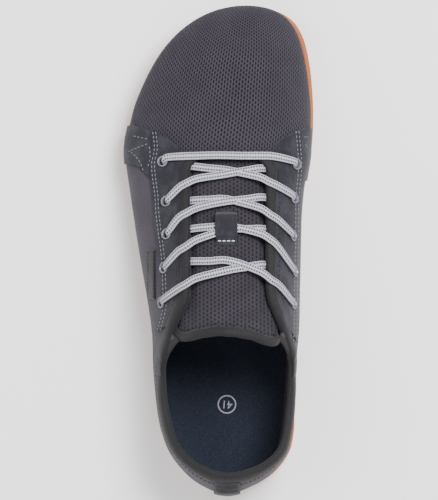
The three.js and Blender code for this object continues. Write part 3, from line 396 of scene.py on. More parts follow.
@dataclass
class Piece:
    """A mesh in the making, from which one object of the shoe is finished."""

    name: str
    mesh: bmesh.types.BMesh = field(default_factory=bmesh.new)

    def grid(self, points: Points, uv: Points | None = None, material: Points | None = None) -> "Piece":
        """Adds a sheet of quads laid over a field of points.

        Args:
            points: columns by rows by x, y and z, in millimetres.
            uv: columns by rows by two numbers, for the piece's UV map.
            material: columns by rows of material numbers, read at each face's first corner.

        Returns:
            The piece itself.
        """
        columns, rows = points.shape[0] - 1, points.shape[1] - 1
        layer = self.mesh.loops.layers.uv.verify()
        made = bmesh.ops.create_grid(self.mesh, x_segments=columns, y_segments=rows, size=0.5)["verts"]
        placed = PLACE.metres(points)
        cells = {}
        for vertex in made:
            cell = (round((vertex.co.x + 0.5) * columns), round((vertex.co.y + 0.5) * rows))
            cells[vertex] = cell
            vertex.co = placed[cell]
        faces = {face for vertex in made for face in vertex.link_faces}
        for face in faces:
            if uv is not None:
                for loop in face.loops:
                    loop[layer].uv = uv[cells[loop.vert]]
            if material is not None:
                face.material_index = int(material[min(cells[v] for v in face.verts)])
        return self

    def tube(self, rings: Points, uv: Points) -> "Piece":
        """Adds a closed tube through rings of points.

        Args:
            rings: rings by points by x, y and z, in millimetres.
            uv: rings by points plus one by two numbers, for the piece's UV map.

        Returns:
            The piece itself.
        """
        sides = rings.shape[1]
        looped = np.concatenate([rings, rings[:, :1]], axis=1)
        before = set(self.mesh.verts)
        self.grid(looped, uv)
        made = [v for v in self.mesh.verts if v not in before]
        bmesh.ops.remove_doubles(self.mesh, verts=made, dist=1e-7)
        made = [v for v in self.mesh.verts if v not in before]
        open_edges = {e for v in made for e in v.link_edges if e.is_boundary}
        bmesh.ops.holes_fill(self.mesh, edges=list(open_edges), sides=sides)
        return self

    def copies(self, shape: bmesh.types.BMesh, places: Sequence[Matrix]) -> "Piece":
        """Adds one small shape at many places, in metres, and frees the shape."""
        block = bpy.data.meshes.new("block")
        shape.to_mesh(block)
        shape.free()
        for place in places:
            block.transform(place)
            self.mesh.from_mesh(block)
            block.transform(place.inverted())
        bpy.data.meshes.remove(block)
        return self

    def weld(self, distance: float = 1e-6) -> "Piece":
        """Merges corners that meet."""
        bmesh.ops.remove_doubles(self.mesh, verts=self.mesh.verts, dist=distance)
        return self

    def outward(self) -> "Piece":
        """Turns all faces of a closed shape outwards."""
        bmesh.ops.recalc_face_normals(self.mesh, faces=self.mesh.faces)
        return self

    def facing(self, away: Points) -> "Piece":
        """Turns an open sheet so that its faces look away from a point, given in millimetres."""
        self.mesh.normal_update()
        point = Vector(PLACE.metres(away))
        total = 0.0
        for face in self.mesh.faces:
            out = (face.calc_center_median() - point).normalized()
            total += face.normal.dot(out) * face.calc_area() if face.normal.length else 0.0
        if total < 0:
            bmesh.ops.reverse_faces(self.mesh, faces=self.mesh.faces)
        return self

    def finish(
        self,
        *materials: bpy.types.Material,
        slot: str,
        replaces: Sequence[str] = (),
        edge: Edge = Edge.SOFT,
    ) -> bpy.types.Object:
        """Makes the object, dresses it and joins it to the shoe.

        Args:
            materials: its materials in the order of the face numbers.
            slot: the record's material slot; not used.
            replaces: the CAD nodes that it stands for.
            edge: whether its faces are shaded smooth.

        Returns:
            The object.
        """
        self.mesh.normal_update()
        data = bpy.data.meshes.new(self.name)
        self.mesh.to_mesh(data)
        self.mesh.free()
        data.polygons.foreach_set("use_smooth", [edge is Edge.SOFT] * len(data.polygons))
        for material in materials:
            data.materials.append(material)
        made = bpy.data.objects.new(self.name, data)
        bpy.context.scene.collection.objects.link(made)
        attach(made, "root")
        if replaces:
            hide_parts(*replaces)
        LOG.info("%s: %d faces", self.name, len(data.polygons))
        return made


def thicken(
    made: bpy.types.Object, thickness: float, edge: float = 0.0, steps: int = 2
) -> bpy.types.Object:
    """Gives a sheet its wall inwards, and rounds the wall's edges.

    Args:
        made: the sheet.
        thickness: the wall in millimetres.
        edge: radius of its edges in millimetres; none at 0.
        steps: steps of the rounding.

    Returns:
        The same object.
    """
    wall = made.modifiers.new("wall", "SOLIDIFY")
    wall.thickness, wall.offset = thickness / 1000, -1
    wall.use_even_offset = wall.use_quality_normals = True
    if edge:
        rounding = made.modifiers.new("rounding", "BEVEL")
        rounding.width, rounding.segments = edge / 1000, steps
        rounding.limit_method, rounding.angle_limit = "ANGLE", math.radians(50)
    return made


def turned_to(place: Points, direction: Points, normal: Points) -> Matrix:
    """Matrix that lays a shape's X along a direction and its Z along a normal, at a place in mm."""
    x = Vector(direction).normalized()
    z = (Vector(normal) - x * Vector(normal).dot(x)).normalized()
    y = z.cross(x)
    turn = Matrix((x, y, z)).transposed().to_4x4()
    return Matrix.Translation(Vector(PLACE.metres(place))) @ turn


def frames_along(path: Points, normals: Points) -> tuple[Points, Points, Points]:
    """Directions along a path, to its side and up, with up close to the given normals."""
    ahead = unit(np.gradient(path, axis=0))
    side = unit(np.cross(ahead, normals))
    return ahead, side, np.cross(side, ahead)


def swept(path: Points, normals: Points, section: Points) -> Points:
    """Rings of a section carried along a path.

    Args:
        path: points of the path.
        normals: the direction that the section's height follows at each point.
        section: rows of (across, height), or one such list for each point.

    Returns:
        Rings by points by x, y and z.
    """
    _, side, up = frames_along(path, normals)
    section = np.broadcast_to(section, (len(path),) + np.asarray(section).shape[-2:])
    return path[:, None] + side[:, None] * section[..., :1] + up[:, None] * section[..., 1:]


def oval(width: float, height: float, sides: int, power: float = 2.0) -> Points:
    """Section of a rounded bar; a power over 2 squares it."""
    turn = np.linspace(0, 2 * math.pi, sides, endpoint=False)
    c, s = np.cos(turn), np.sin(turn)
    x = np.sign(c) * np.abs(c) ** (2 / power) * width / 2
    y = np.sign(s) * np.abs(s) ** (2 / power) * height / 2
    return np.stack([x, y], axis=-1)


@dataclass(frozen=True)
class Seam:
    """A row of sewn stitches: sizes of one stitch in millimetres."""

    length: float = 1.6
    gap: float = 0.8
    width: float = 0.55
    height: float = 0.5
    sides: int = 6
    thinning: float = 0.55
    dip: float = 0.3

    def stitch(self) -> bmesh.types.BMesh:
        """One stitch: a short thread, fat in the middle, that dips at both ends."""
        shape = bmesh.new()
        bmesh.ops.create_cone(
            shape, cap_ends=True, segments=self.sides, radius1=0.5, radius2=0.5, depth=1.0,
            matrix=Matrix.Rotation(math.pi / 2, 4, "Y"),
        )
        long_edges = [e for e in shape.edges if abs(e.verts[0].co.x - e.verts[1].co.x) > 0.5]
        bmesh.ops.subdivide_edges(shape, edges=long_edges, cuts=3, use_grid_fill=True)
        size = Vector((self.length, self.width, self.height)) / 1000
        for v in shape.verts:
            away = abs(v.co.x) * 2
            thin = 1 - self.thinning * away**3
            level = v.co.z * thin - self.dip * away**2
            v.co = Vector((v.co.x * size.x, v.co.y * size.y * thin, level * size.z))
        return shape

    def row(self, path: Points, normals: Points) -> list[Matrix]:
        """Places of the stitches along a path that lies on the surface."""
        length = np.linalg.norm(np.diff(path, axis=0), axis=1).sum()
        count = max(int(length / (self.length + self.gap)), 1)
        line = resample(np.concatenate([path, normals], axis=1), 2 * count + 1)
        spots = zip(line[1::2], line[2::2, :3] - line[:-1:2, :3])
        return [turned_to(spot[:3], ahead, spot[3:]) for spot, ahead in spots]


class Value:
    """A number in a material's nodes, so that patterns read as plain arithmetic."""

    def __init__(self, paint: "Paint", socket: bpy.types.NodeSocket) -> None:
        """Wraps an output socket of one material."""
        self.paint, self.socket = paint, socket

    def math(self, operation: str, *others: "Value | float", swap: bool = False) -> "Value":
        """The result of a Math node on this and other values; swap puts this one second."""
        terms = [self, *others]
        if swap:
            terms.reverse()
        return self.paint.node("ShaderNodeMath", {"operation": operation}, dict(enumerate(terms)))

    def __add__(self, other: "Value | float") -> "Value":
        """Sum."""
        return self.math("ADD", other)

    __radd__ = __add__

    def __mul__(self, other: "Value | float") -> "Value":
        """Product."""
        return self.math("MULTIPLY", other)

    __rmul__ = __mul__

    def __sub__(self, other: "Value | float") -> "Value":
        """Difference."""
        return self.math("SUBTRACT", other)

    def __rsub__(self, other: float) -> "Value":
        """Difference from a number."""
        return self.math("SUBTRACT", other, swap=True)

    def __truediv__(self, other: "Value | float") -> "Value":
        """Quotient."""
        return self.math("DIVIDE", other)

    def __pow__(self, other: float) -> "Value":
        """Power."""
        return self.math("POWER", other)

    def cut(self, low: float, high: float) -> "Value":
        """0 below low, 1 above high and a soft step between; low may be the larger."""
        if low > high:
            return 1 - self.cut(high, low)
        settings = {"interpolation_type": "SMOOTHSTEP", "clamp": True}
        inputs = {"Value": self, "From Min": low, "From Max": high}
        return self.paint.node("ShaderNodeMapRange", settings, inputs)

    def wave(self) -> "Value":
        """Cosine of this many turns, from -1 to 1."""
        return (self * (2 * math.pi)).math("COSINE")

    def ripple(self) -> "Value":
        """Cosine of this many turns, from 0 to 1."""
        return self.wave() * 0.5 + 0.5

    def cell(self) -> "Value":
        """Distance from the middle of its unit cell, from -0.5 to 0.5."""
        return self.math("FRACT") - 0.5


Colour = tuple[float, float, float]


def srgb(red: int, green: int, blue: int) -> Colour:
    """Linear colour of a tone from 0 to 255, with more contrast against the soft view curve."""
    shares = (v / 255 for v in (red, green, blue))
    linear = (v / 12.92 if v <= 0.04045 else ((v + 0.055) / 1.055) ** 2.4 for v in shares)
    return tuple(min(TONE_LIFT * v**TONE_POWER, TONE_LIMIT) for v in linear)


class Paint:
    """One material in the making."""

    def __init__(self, name: str) -> None:
        """Starts a material with a principled surface."""
        self.material = bpy.data.materials.new(name)
        self.material.use_nodes = True
        self.tree = self.material.node_tree
        self.surface = next(n for n in self.tree.nodes if n.type == "BSDF_PRINCIPLED")
        self._place: Value | None = None

    def node(
        self,
        kind: str,
        settings: dict[str, object] | None = None,
        inputs: dict[int | str, object] | None = None,
        output: int | str = 0,
    ) -> Value:
        """Adds any node.

        Args:
            kind: the node's type.
            settings: its properties, set first.
            inputs: a value, colour or link for each named or numbered socket.
            output: which of its outputs to give.

        Returns:
            That output.
        """
        made = self.tree.nodes.new(kind)
        for key, value in (settings or {}).items():
            setattr(made, key, value)
        for key, value in (inputs or {}).items():
            socket = made.inputs[key]
            if isinstance(value, Value):
                self.tree.links.new(value.socket, socket)
            else:
                socket.default_value = (*value, 1.0) if socket.type == "RGBA" else value
        return Value(self, made.outputs[output])

    def place(self) -> Value:
        """Object coordinates in metres."""
        if self._place is None:
            self._place = self.node("ShaderNodeTexCoord", output="Object")
        return self._place

    def parts(self, vector: Value, count: int) -> list[Value]:
        """The first few parts of a vector."""
        return [self.node("ShaderNodeSeparateXYZ", inputs={0: vector}, output=i) for i in range(count)]

    def axes(self) -> list[Value]:
        """The object's coordinates in millimetres."""
        return [part * 1000 for part in self.parts(self.place(), 3)]

    def sheet(self) -> list[Value]:
        """The two parts of the piece's UV map."""
        return self.parts(self.node("ShaderNodeUVMap"), 2)

    def noise(
        self, size: float, detail: float = 2.0, rough: float = 0.5, stretch: Colour = (1, 1, 1)
    ) -> Value:
        """Soft noise from 0 to 1 with grains of a size in millimetres, stretched along the axes."""
        spread = tuple(1 / s for s in stretch)
        mapped = self.node("ShaderNodeMapping", inputs={"Vector": self.place(), "Scale": spread})
        inputs = {"Vector": mapped, "Scale": 1000 / size, "Detail": detail, "Roughness": rough}
        return self.node("ShaderNodeTexNoise", inputs=inputs)

    def cloud(self, size: float, detail: float = 2.0) -> Value:
        """Soft patches of a size in millimetres."""
        return self.noise(size, detail).cut(0.3, 0.7)

    def mix(self, share: Value | float, first: "Value | Colour", second: "Value | Colour") -> Value:
        """Colour between two others."""
        settings = {"data_type": "RGBA", "clamp_factor": True}
        return self.node("ShaderNodeMix", settings, {0: share, 6: first, 7: second}, 2)

    def relief(self, height: Value, depth: float) -> Value:
        """Normal of a relief whose height of 1 stands for a depth in millimetres."""
        inputs = {"Strength": 1.0, "Distance": depth / 1000, "Height": height}
        return self.node("ShaderNodeBump", inputs=inputs)

    def dress(
        self, colour: "Value | Colour", rough: "Value | float", normal: Value | None, **fixed: object
    ) -> bpy.types.Material:
        """Sets the surface.

        Args:
            colour: base colour.
            rough: roughness.
            normal: a relief, if any.
            fixed: constants of other sockets, by name with _ for spaces.

        Returns:
            The material.
        """
        given = {"Base Color": colour, "Roughness": rough, "Normal": normal}
        given.update({key.replace("_", " "): value for key, value in fixed.items()})
        for key, value in given.items():
            if isinstance(value, Value):
                self.tree.links.new(value.socket, self.surface.inputs[key])
            elif value is not None:
                self.surface.inputs[key].default_value = value
        return self.material


def darker(colour: Colour, share: float) -> Colour:
    """A colour with only a share of its light."""
    return tuple(part * share for part in colour)


def woven(first: Value, second: Value) -> Value:
    """Soft checks of two waves, from 0 to 1."""
    return first.wave() * second.wave() * 0.5 + 0.5


def staggered(column: Value, row: Value, narrow: float, short: float) -> Value:
    """Distance from the nearest of many holes, every other column half a step along.

    Args:
        column: place across, in columns.
        row: place along, in rows.
        narrow: how fast the distance grows across.
        short: how fast it grows along.

    Returns:
        The distance.
    """
    shift = (column.math("FLOOR") * 0.5).math("FRACT")
    return (column.cell() ** 2 * narrow + (row + shift).cell() ** 2 * short).math("SQRT")


class Gloss(Enum):
    """How much light glances off a fabric's fibres."""

    NONE = 0.0
    FAINT = 0.05
    FUZZY = 0.12


Pattern = tuple[Value, "Value | float", "Value | None"]


@dataclass(frozen=True)
class Finish:
    """A material; its pattern gives colour, roughness and the height of a relief of some millimetres."""

    depth: float = 0.05
    shine: float = 0.3
    fuzz: Gloss = Gloss.FAINT
    metal: float = 0.0
    glow_through: float = 0.0
    glow_reach: float = 0.002

    def pattern(self, paint: Paint) -> Pattern:
        """Colour, roughness and height; each finish has its own."""
        raise NotImplementedError

    def make(self, name: str) -> bpy.types.Material:
        """Builds the material."""
        paint = Paint(name)
        colour, rough, height = self.pattern(paint)
        return paint.dress(
            colour,
            rough,
            paint.relief(height, self.depth) if height else None,
            Specular_IOR_Level=self.shine,
            Sheen_Weight=self.fuzz.value,
            Metallic=self.metal,
            Subsurface_Weight=self.glow_through,
            Subsurface_Scale=self.glow_reach,
        )


@dataclass(frozen=True)
class MeshKnit(Finish):
    """Open knit with staggered holes in lengthwise columns; its UV map is in millimetres."""

    depth: float = 0.5
    yarn: Colour = srgb(86, 81, 93)
    rib: Colour = srgb(105, 99, 112)
    # Near-black of the painted holes: the dark backing seen through them, with painted shade of their
    # depth.
    hole: Colour = srgb(20, 18, 25)
    pitch: float = 1.82
    length: float = 2.6
    reach: float = 0.52

    def pattern(self, paint: Paint) -> Pattern:
        """Stitches round dark holes; the holes are not cut, and their dark is the backing with painted
        shade in their depth.
        """
        across, ahead = paint.sheet()
        wander = paint.noise(9, 1) - 0.5
        away = staggered((across + wander * 0.35) / self.pitch, ahead / self.length, 3.4, 2.1)
        # Mask of the painted holes: the backing's dark tone with painted shade in them.
        hole = away.cut(self.reach + 0.14, self.reach - 0.05)
        fade = paint.noise(22, 2).cut(0.25, 0.5) * 0.12 + 0.88
        strand = woven(across / 0.3, ahead / 0.42)
        colour = paint.mix(paint.cloud(14, 3) * 0.35 + 0.2, self.yarn, self.rib)
        colour = paint.mix(strand * 0.35, colour, darker(self.yarn, 0.55))
        return paint.mix(hole * fade, colour, self.hole), 0.86, (1 - hole) + strand * 0.18


@dataclass(frozen=True)
class PanelCloth(Finish):
    """Smooth dense cloth of the side panels."""

    colour: Colour = srgb(100, 94, 103)
    dark: Colour = srgb(87, 82, 91)
    weave: float = 0.55

    def pattern(self, paint: Paint) -> Pattern:
        """Fine twill with soft patches."""
        x, y, z = paint.axes()
        twill = woven((x + y + z) / self.weave, (x - y + z) / self.weave)
        fleck = paint.noise(0.8, 2).cut(0.35, 0.7)
        colour = paint.mix(paint.cloud(26, 3) * 0.6 + fleck * 0.3, self.colour, self.dark)
        return colour, fleck * 0.1 + 0.8, twill * 0.5 + fleck * 0.5 + paint.noise(7, 3) * 3


@dataclass(frozen=True)
class Suede(Finish):
    """Brushed suede with a short nap in patches, and a rubbed lighter tone."""

    depth: float = 0.12
    shine: float = 0.2
    fuzz: Gloss = Gloss.FUZZY
    colour: Colour = srgb(77, 76, 84)
    rubbed: Colour = srgb(99, 98, 107)
    shade: Colour = srgb(58, 57, 63)

    def pattern(self, paint: Paint) -> Pattern:
        """Nap brushed to and fro."""
        nap = paint.noise(0.55, 3, 0.7, (0.6, 1.6, 1))
        brushed = paint.noise(6.5, 3, 0.6, (1, 1.5, 1)).cut(0.38, 0.66)
        colour = paint.mix(brushed * 0.65, self.colour, self.rubbed)
        colour = paint.mix(paint.cloud(20) * 0.3, colour, self.shade)
        return paint.mix(nap.cut(0.62, 0.4) * 0.45, colour, self.shade), 0.93, nap + brushed * 0.6


@dataclass(frozen=True)
class Lining(Finish):
    """Smooth brushed binding cloth with fine ribs along its length; its UV map is in millimetres."""

    depth: float = 0.07
    shine: float = 0.35
    colour: Colour = srgb(45, 44, 49)
    light: Colour = srgb(59, 58, 64)
    rib: float = 0.5

    def pattern(self, paint: Paint) -> Pattern:
        """Fine ribs crossed by finer ones."""
        around, ahead = paint.sheet()
        fleck = paint.noise(0.9, 2).cut(0.35, 0.7)
        height = (around / self.rib).ripple() * 0.7 + (ahead / 0.9).ripple() * 0.3 + fleck * 0.6
        colour = paint.mix(paint.cloud(16) * 0.35 + fleck * 0.2, self.colour, self.light)
        return colour, fleck * 0.12 + 0.72, height


@dataclass(frozen=True)
class RibbedKnit(Finish):
    """Tongue knit: lengthwise ribs with small holes between; its UV map is in millimetres."""

    depth: float = 0.45
    yarn: Colour = srgb(80, 76, 85)
    light: Colour = srgb(94, 89, 99)
    # Near-black of the painted holes: the dark backing with painted shade in them.
    hole: Colour = srgb(32, 29, 37)
    pitch: float = 2.1
    length: float = 2.4

    def pattern(self, paint: Paint) -> Pattern:
        """Ribs and holes; the troughs between ribs are darkened as painted shade, and the holes' dark is
        the backing with painted shade.
        """
        across, ahead = paint.sheet()
        column = across / self.pitch
        ridge = (column.cell() * 2).wave() * -0.5 + 0.5
        hole = staggered(column, ahead / self.length, 5, 2.4).cut(0.62, 0.34)
        strand = (ahead / 0.5).ripple()
        colour = paint.mix(paint.cloud(10) * 0.6, self.yarn, self.light)
        # Darker yarn along the strands is the knit's pattern; along the troughs (ridge, low in the
        # relief) it is painted shade.
        colour = paint.mix(strand * 0.25 + ridge * 0.2, colour, darker(self.yarn, 0.6))
        colour = paint.mix(hole, colour, self.hole)
        return colour, 0.88, (1 - hole) * 0.8 - ridge * 0.3 + strand * 0.12


@dataclass(frozen=True)
class Braid(Finish):
    """Flat braided lace with two dark dashed lines along it; its UV map is in millimetres."""

    depth: float = 0.22
    shine: float = 0.35
    fuzz: Gloss = Gloss.NONE
    light: Colour = srgb(202, 202, 208)
    pale: Colour = srgb(146, 146, 155)
    dark: Colour = srgb(50, 48, 57)
    line_at: float = 1.05
    line_width: float = 0.92
    strand: float = 1.15
    dash: float = 1.5

    def pattern(self, paint: Paint) -> Pattern:
        """Slanting strands, two dashed lines and darker edges, painted shade where the flat lace rounds
        off.
        """
        across, ahead = paint.sheet()
        side = across.math("ABSOLUTE")
        slant, slant_back = (((ahead + side * turn) / self.strand).ripple() for turn in (0.9, -0.9))
        line = ((side - self.line_at) / self.line_width).math("ABSOLUTE").cut(1.0, 0.15)
        dash = (ahead / self.dash).wave().cut(-0.35, 0.4)
        fleck = paint.cloud(0.7)
        colour = paint.mix(slant * 0.5 + fleck * 0.25, self.light, self.pale)
        colour = paint.mix(line * (dash * 0.75 + 0.35), colour, self.dark)
        # Painted shade: the lace's edges darken where it rounds off.
        colour = paint.mix(side.cut(1.75, 2.3) * 0.35, colour, self.dark)
        return colour, fleck * 0.1 + 0.72, slant * 0.5 + slant_back * 0.3 - line * 0.7 + fleck * 0.15


@dataclass(frozen=True)
class Footbed(Finish):
    """Dark insole cloth with fine slanting ribs."""

    depth: float = 0.15
    shine: float = 0.15
    colour: Colour = srgb(52, 57, 66)
    light: Colour = srgb(96, 101, 115)
    rib: float = 1.0

    def pattern(self, paint: Paint) -> Pattern:
        """Slanting ribs, crossed by wider ones."""
        x, y, _ = paint.axes()
        rib = ((x * 0.8 + y * 0.6) / self.rib).ripple()
        cross = ((x * 0.6 - y * 0.8) / (self.rib * 1.8)).ripple()
        pile = paint.noise(0.6, 3)
        colour = paint.mix(rib * 0.45 + pile.cut(0.4, 0.7) * 0.3, self.colour, self.light)
        return colour, 0.95, rib + cross * 0.3 + pile * 0.5


@dataclass(frozen=True)
class Gum(Finish):
    """Gum rubber with a dusty bloom; one finish each for treads, grooves and the side wall, the grooves'
    darker as painted shade.
    """

    depth: float = 0.06
    shine: float = 0.5
    fuzz: Gloss = Gloss.NONE
    glow_through: float = 0.1
    colour: Colour = srgb(168, 108, 70)
    shade: Colour = srgb(140, 84, 54)
    bloom: Colour = srgb(190, 144, 112)
    dusty: float = 0.2

    def pattern(self, paint: Paint) -> Pattern:
        """Soft clouds under fine dust."""
        dust = paint.noise(1.4, 3, 0.65)
        colour = paint.mix(paint.noise(18, 3).cut(0.3, 0.72) * 0.3, self.colour, self.shade)
        colour = paint.mix(dust.cut(0.55, 0.8) * self.dusty, colour, self.bloom)
        return colour, dust * 0.2 + 0.4, dust


@dataclass(frozen=True)
class EyeletMetal(Finish):
    """Satin lacquered metal of the eyelets."""

    depth: float = 0.03
    shine: float = 0.5
    fuzz: Gloss = Gloss.NONE
    metal: float = 0.55
    colour: Colour = srgb(158, 158, 166)
    dark: Colour = srgb(122, 122, 130)

    def pattern(self, paint: Paint) -> Pattern:
        """Brushed, worn in spots."""
        brushed = paint.noise(0.8, 3)
        worn = paint.noise(2.5, 2).cut(0.4, 0.65)
        return paint.mix(worn * 0.5, self.colour, self.dark), brushed * 0.2 + 0.32, brushed


@dataclass(frozen=True)
class Thread(Finish):
    """Sewing thread."""

    shine: float = 0.35
    fuzz: Gloss = Gloss.NONE
    colour: Colour = srgb(142, 141, 149)

    def pattern(self, paint: Paint) -> Pattern:
        """Fine twist."""
        twist = paint.noise(0.35, 2)
        colour = paint.mix(twist.cut(0.35, 0.65) * 0.5, self.colour, darker(self.colour, 0.6))
        return colour, 0.75, twist


@dataclass(frozen=True)
class Tag(Finish):
    """Bare woven tag: a tight satin weave with a plain edge."""

    depth: float = 0.06
    shine: float = 0.4
    fuzz: Gloss = Gloss.NONE
    colour: Colour = srgb(46, 45, 52)
    light: Colour = srgb(66, 65, 73)

    def pattern(self, paint: Paint) -> Pattern:
        """Satin weave."""
        across, ahead = paint.sheet()
        weave = woven(across / 0.45, ahead / 0.32)
        return paint.mix(weave * 0.4 + paint.noise(5, 2) * 0.3, self.colour, self.light), 0.62, weave


@dataclass(frozen=True)
class Backdrop(Finish):
    """Plain pale floor."""

    shine: float = 0.1
    fuzz: Gloss = Gloss.NONE
    colour: Colour = srgb(238, 238, 240)

    def pattern(self, paint: Paint) -> Pattern:
        """Almost even."""
        return paint.mix(paint.noise(40, 2) * 0.05, self.colour, darker(self.colour, 0.94)), 0.9, None


@dataclass(frozen=True)
class Crease:
    """A soft trough, or a ridge with a negative depth, along a line of the plan, in millimetres."""

    start: tuple[float, float]
    end: tuple[float, float]
    depth: float
    width: float

    def height(self, points: Points) -> Points:
        """How far the crease moves each point along the surface normal."""
        a, b = np.array(self.start), np.array(self.end)
        run = b - a
        t = np.clip(((points[..., :2] - a) @ run) / (run @ run), 0, 1)
        away = np.linalg.norm(points[..., :2] - (a + t[..., None] * run), axis=-1)
        ends = np.sin(math.pi * np.clip(t, 0.04, 0.96)) ** 0.5
        return -self.depth * bump_of(away, self.width) * ends


@dataclass
class Ankle:
    """The mouth of the shoe: places of its top edge by the angle seen from above."""

    centre_x: float = THROAT_X
    centre_y: float = along(0.19)
    start: float = 42.0
    end: float = -222.0

    def edge(self, angles: Points, drop: Points | float) -> Points:
        """Points where the quarter's top line, lowered by a drop, meets the last.

        Args:
            angles: degrees from the medial side towards the toe.
            drop: millimetres below the top line.

        Returns:
            Points on the last.
        """
        turn = np.radians(angles)
        heading = np.stack([np.cos(turn), np.sin(turn)], axis=-1)
        near, far = np.full(turn.shape, 5.0), np.full(turn.shape, LENGTH / 2)
        for _ in range(26):
            middle = (near + far) / 2
            inside = LAST.level(self.ray(heading, middle, drop)) < 0
            near, far = np.where(inside, middle, near), np.where(inside, far, middle)
        return self.ray(heading, near, drop)

    def ray(self, heading: Points, reach: Points, drop: Points | float) -> Points:
        """Points of the lowered top line at a distance from the ankle."""
        x = self.centre_x + heading[:, 0] * reach
        y = self.centre_y + heading[:, 1] * reach
        return flat_array(x, y, TOPLINE(share_of(y)) - drop)


ANKLE = Ankle()


@dataclass
class Upper:
    """The knit and cloth body: one ring-shaped sheet from the throat and collar down into the sole."""

    throat_columns: int = 64
    side_columns: int = 70
    heel_columns: int = 130
    rows: int = 74
    hem_steps: int = 90
    lower_by: float = 6.0
    hem_above_footbed: float = 2.0
    side_split: float = -44.0
    knit_until: float = 50.5
    toe_centre: float = 14.0
    creases: tuple[Crease, ...] = (
        Crease((-52, 66), (-26, 84), 0.5, 5),
        Crease((-30, 96), (4, 88), 0.45, 6),
        Crease((12, 90), (44, 80), 0.45, 6),
        Crease((-48, 22), (-38, -18), -0.5, 5),
        Crease((-44, -36), (-38, -62), 0.7, 5),
        Crease((-36, -78), (-31, -106), -0.5, 6),
        Crease((44, 20), (43, -24), -0.4, 5),
        Crease((47, -46), (44, -82), 0.6, 6),
        Crease((-41, -70), (-28, -112), 0.4, 3.5),
    )

    def throat_front(self) -> Points:
        """Edge of the throat from its middle round the medial corner, in the plan."""
        turn = np.radians(np.linspace(90, 0, 10))
        middle = np.array([THROAT_X + THROAT_HALF, THROAT_Y]) - THROAT_CORNER
        corner = middle + THROAT_CORNER * np.stack([np.cos(turn), np.sin(turn)], -1)
        return np.concatenate([[[THROAT_X, THROAT_Y]], corner])

    def throat_side(self, hand: int) -> Points:
        """Edge of a facing from the front corner back to the start of the collar, in the plan."""
        flare = 7.6 if hand > 0 else 8.6
        x = THROAT_X + hand * (THROAT_HALF + flare * np.array([0, 0, 0.08, 0.42, 0.98, 1.34]))
        y = np.array([THROAT_Y - THROAT_CORNER, 10, -20, -30, -38, self.side_split])
        return np.stack([x, y], -1)

    def hem(self, points: Points) -> Points:
        """Points of the last at the hem's height, straight out from the axis towards given points."""
        placed = points
        for _ in range(3):
            level = footbed(placed[:, 1]) + self.hem_above_footbed
            centre = LAST.centre(placed)
            centre[:, 2] = level
            placed = LAST.reach(centre, flat_array(placed[:, 0], placed[:, 1], level))
        return placed

    def toe_hem(self, hand: int) -> Points:
        """Hem round one half of the toe, from the tip back to the side."""
        turn = np.radians(np.linspace(90, 0 if hand > 0 else 180, self.hem_steps))
        start_x, start_y = self.toe_centre, THROAT_Y - THROAT_CORNER
        reach = flat_array(start_x + 30 * np.cos(turn), start_y + 60 * np.sin(turn), 20.0)
        centre = flat_array(start_x, np.full(self.hem_steps, start_y), 16.0)
        line = LAST.reach(centre, reach)
        for _ in range(3):
            level = footbed(line[:, 1]) + self.hem_above_footbed
            centre[:, 2] = level
            line = LAST.reach(centre, flat_array(reach[:, 0], reach[:, 1], level))
        return line

    def quarter(self, hand: int) -> tuple[Points, Points]:
        """Top edge and hem of one half, from the middle of the throat's front to the heel's middle."""
        front = self.throat_front()
        if hand < 0:
            front = np.stack([2 * THROAT_X - front[:, 0], front[:, 1]], -1)
        side = self.throat_side(hand)
        front_edge = resample(LAST.above(front[:, 0], front[:, 1]), self.throat_columns + 1)
        side_edge = resample(LAST.above(*smooth_line(side, 60).T), self.side_columns + 1)
        x, y = side_edge[-1, 0] - ANKLE.centre_x, self.side_split - ANKLE.centre_y
        last_angle = math.degrees(math.atan2(y, x))
        stop = -90 if hand > 0 else 270
        angles = np.linspace(last_angle, stop, 90)
        sink = self.lower_by * np.clip(np.abs(angles - last_angle) / 7, 0.25, 1)
        heel_edge = ANKLE.edge(angles, sink)
        heel_edge = resample(np.concatenate([side_edge[-1:], heel_edge[1:]]), self.heel_columns // 2 + 1)
        toe = resample(self.toe_hem(hand), self.throat_columns + 1)
        side_target = flat_array(np.full(len(side_edge), 60.0 * hand), side_edge[:, 1], 12.0)
        side_hem = resample(self.hem(side_target), self.side_columns + 1)
        turn = np.linspace(math.pi / 2, 0, 80) - math.pi / 2
        heel_target = flat_array(5 + 60 * hand * np.cos(turn), self.side_split + 94 * np.sin(turn), 12.0)
        heel_hem = self.hem(heel_target)
        heel_hem = resample(np.concatenate([side_hem[-1:], heel_hem[1:]]), self.heel_columns // 2 + 1)
        top = np.concatenate([front_edge[:-1], side_edge[:-1], heel_edge])
        low = np.concatenate([toe[:-1], side_hem[:-1], heel_hem])
        return top, low

    def field(self) -> Points:
        """The whole sheet: columns round the shoe by rows from the hem up."""
        medial_top, medial_low = self.quarter(1)
        lateral_top, lateral_low = self.quarter(-1)
        top = np.concatenate([medial_top, lateral_top[::-1][1:]])
        low = np.concatenate([medial_low, lateral_low[::-1][1:]])
        t = np.linspace(0, 1, 140)[:, None, None]
        lines = LAST.onto(low + (top - low) * t)
        lines[0], lines[-1] = low, top
        return np.stack([resample(line, self.rows + 1) for line in np.moveaxis(lines, 1, 0)])

    def sheet_map(self, points: Points) -> Points:
        """UV in millimetres: distance from the ridge, drawn together towards the toe, and length."""
        share = np.clip((points[..., 1] - LAST.start) / LAST.length, 0.02, 0.985)
        ridge, wide, crown = LAST.ridge(share), LAST.wide(share), LAST.crown(share)
        across = points[..., 0] - ridge
        slope = np.abs(across) / 48
        down = np.maximum(crown - points[..., 2], 0)
        girth = np.sign(across) * (np.abs(across) ** 1.25 + down**1.25) ** 0.8 * (1 + 0.12 * slope)
        spread = (LAST.medial(share) - LAST.lateral(share)) / 105
        u = girth / np.maximum(spread, 0.25) ** 0.55
        v = points[..., 1] + np.maximum(points[..., 1] - 108, 0) ** 2 / 60
        return np.stack([u, v], axis=-1)

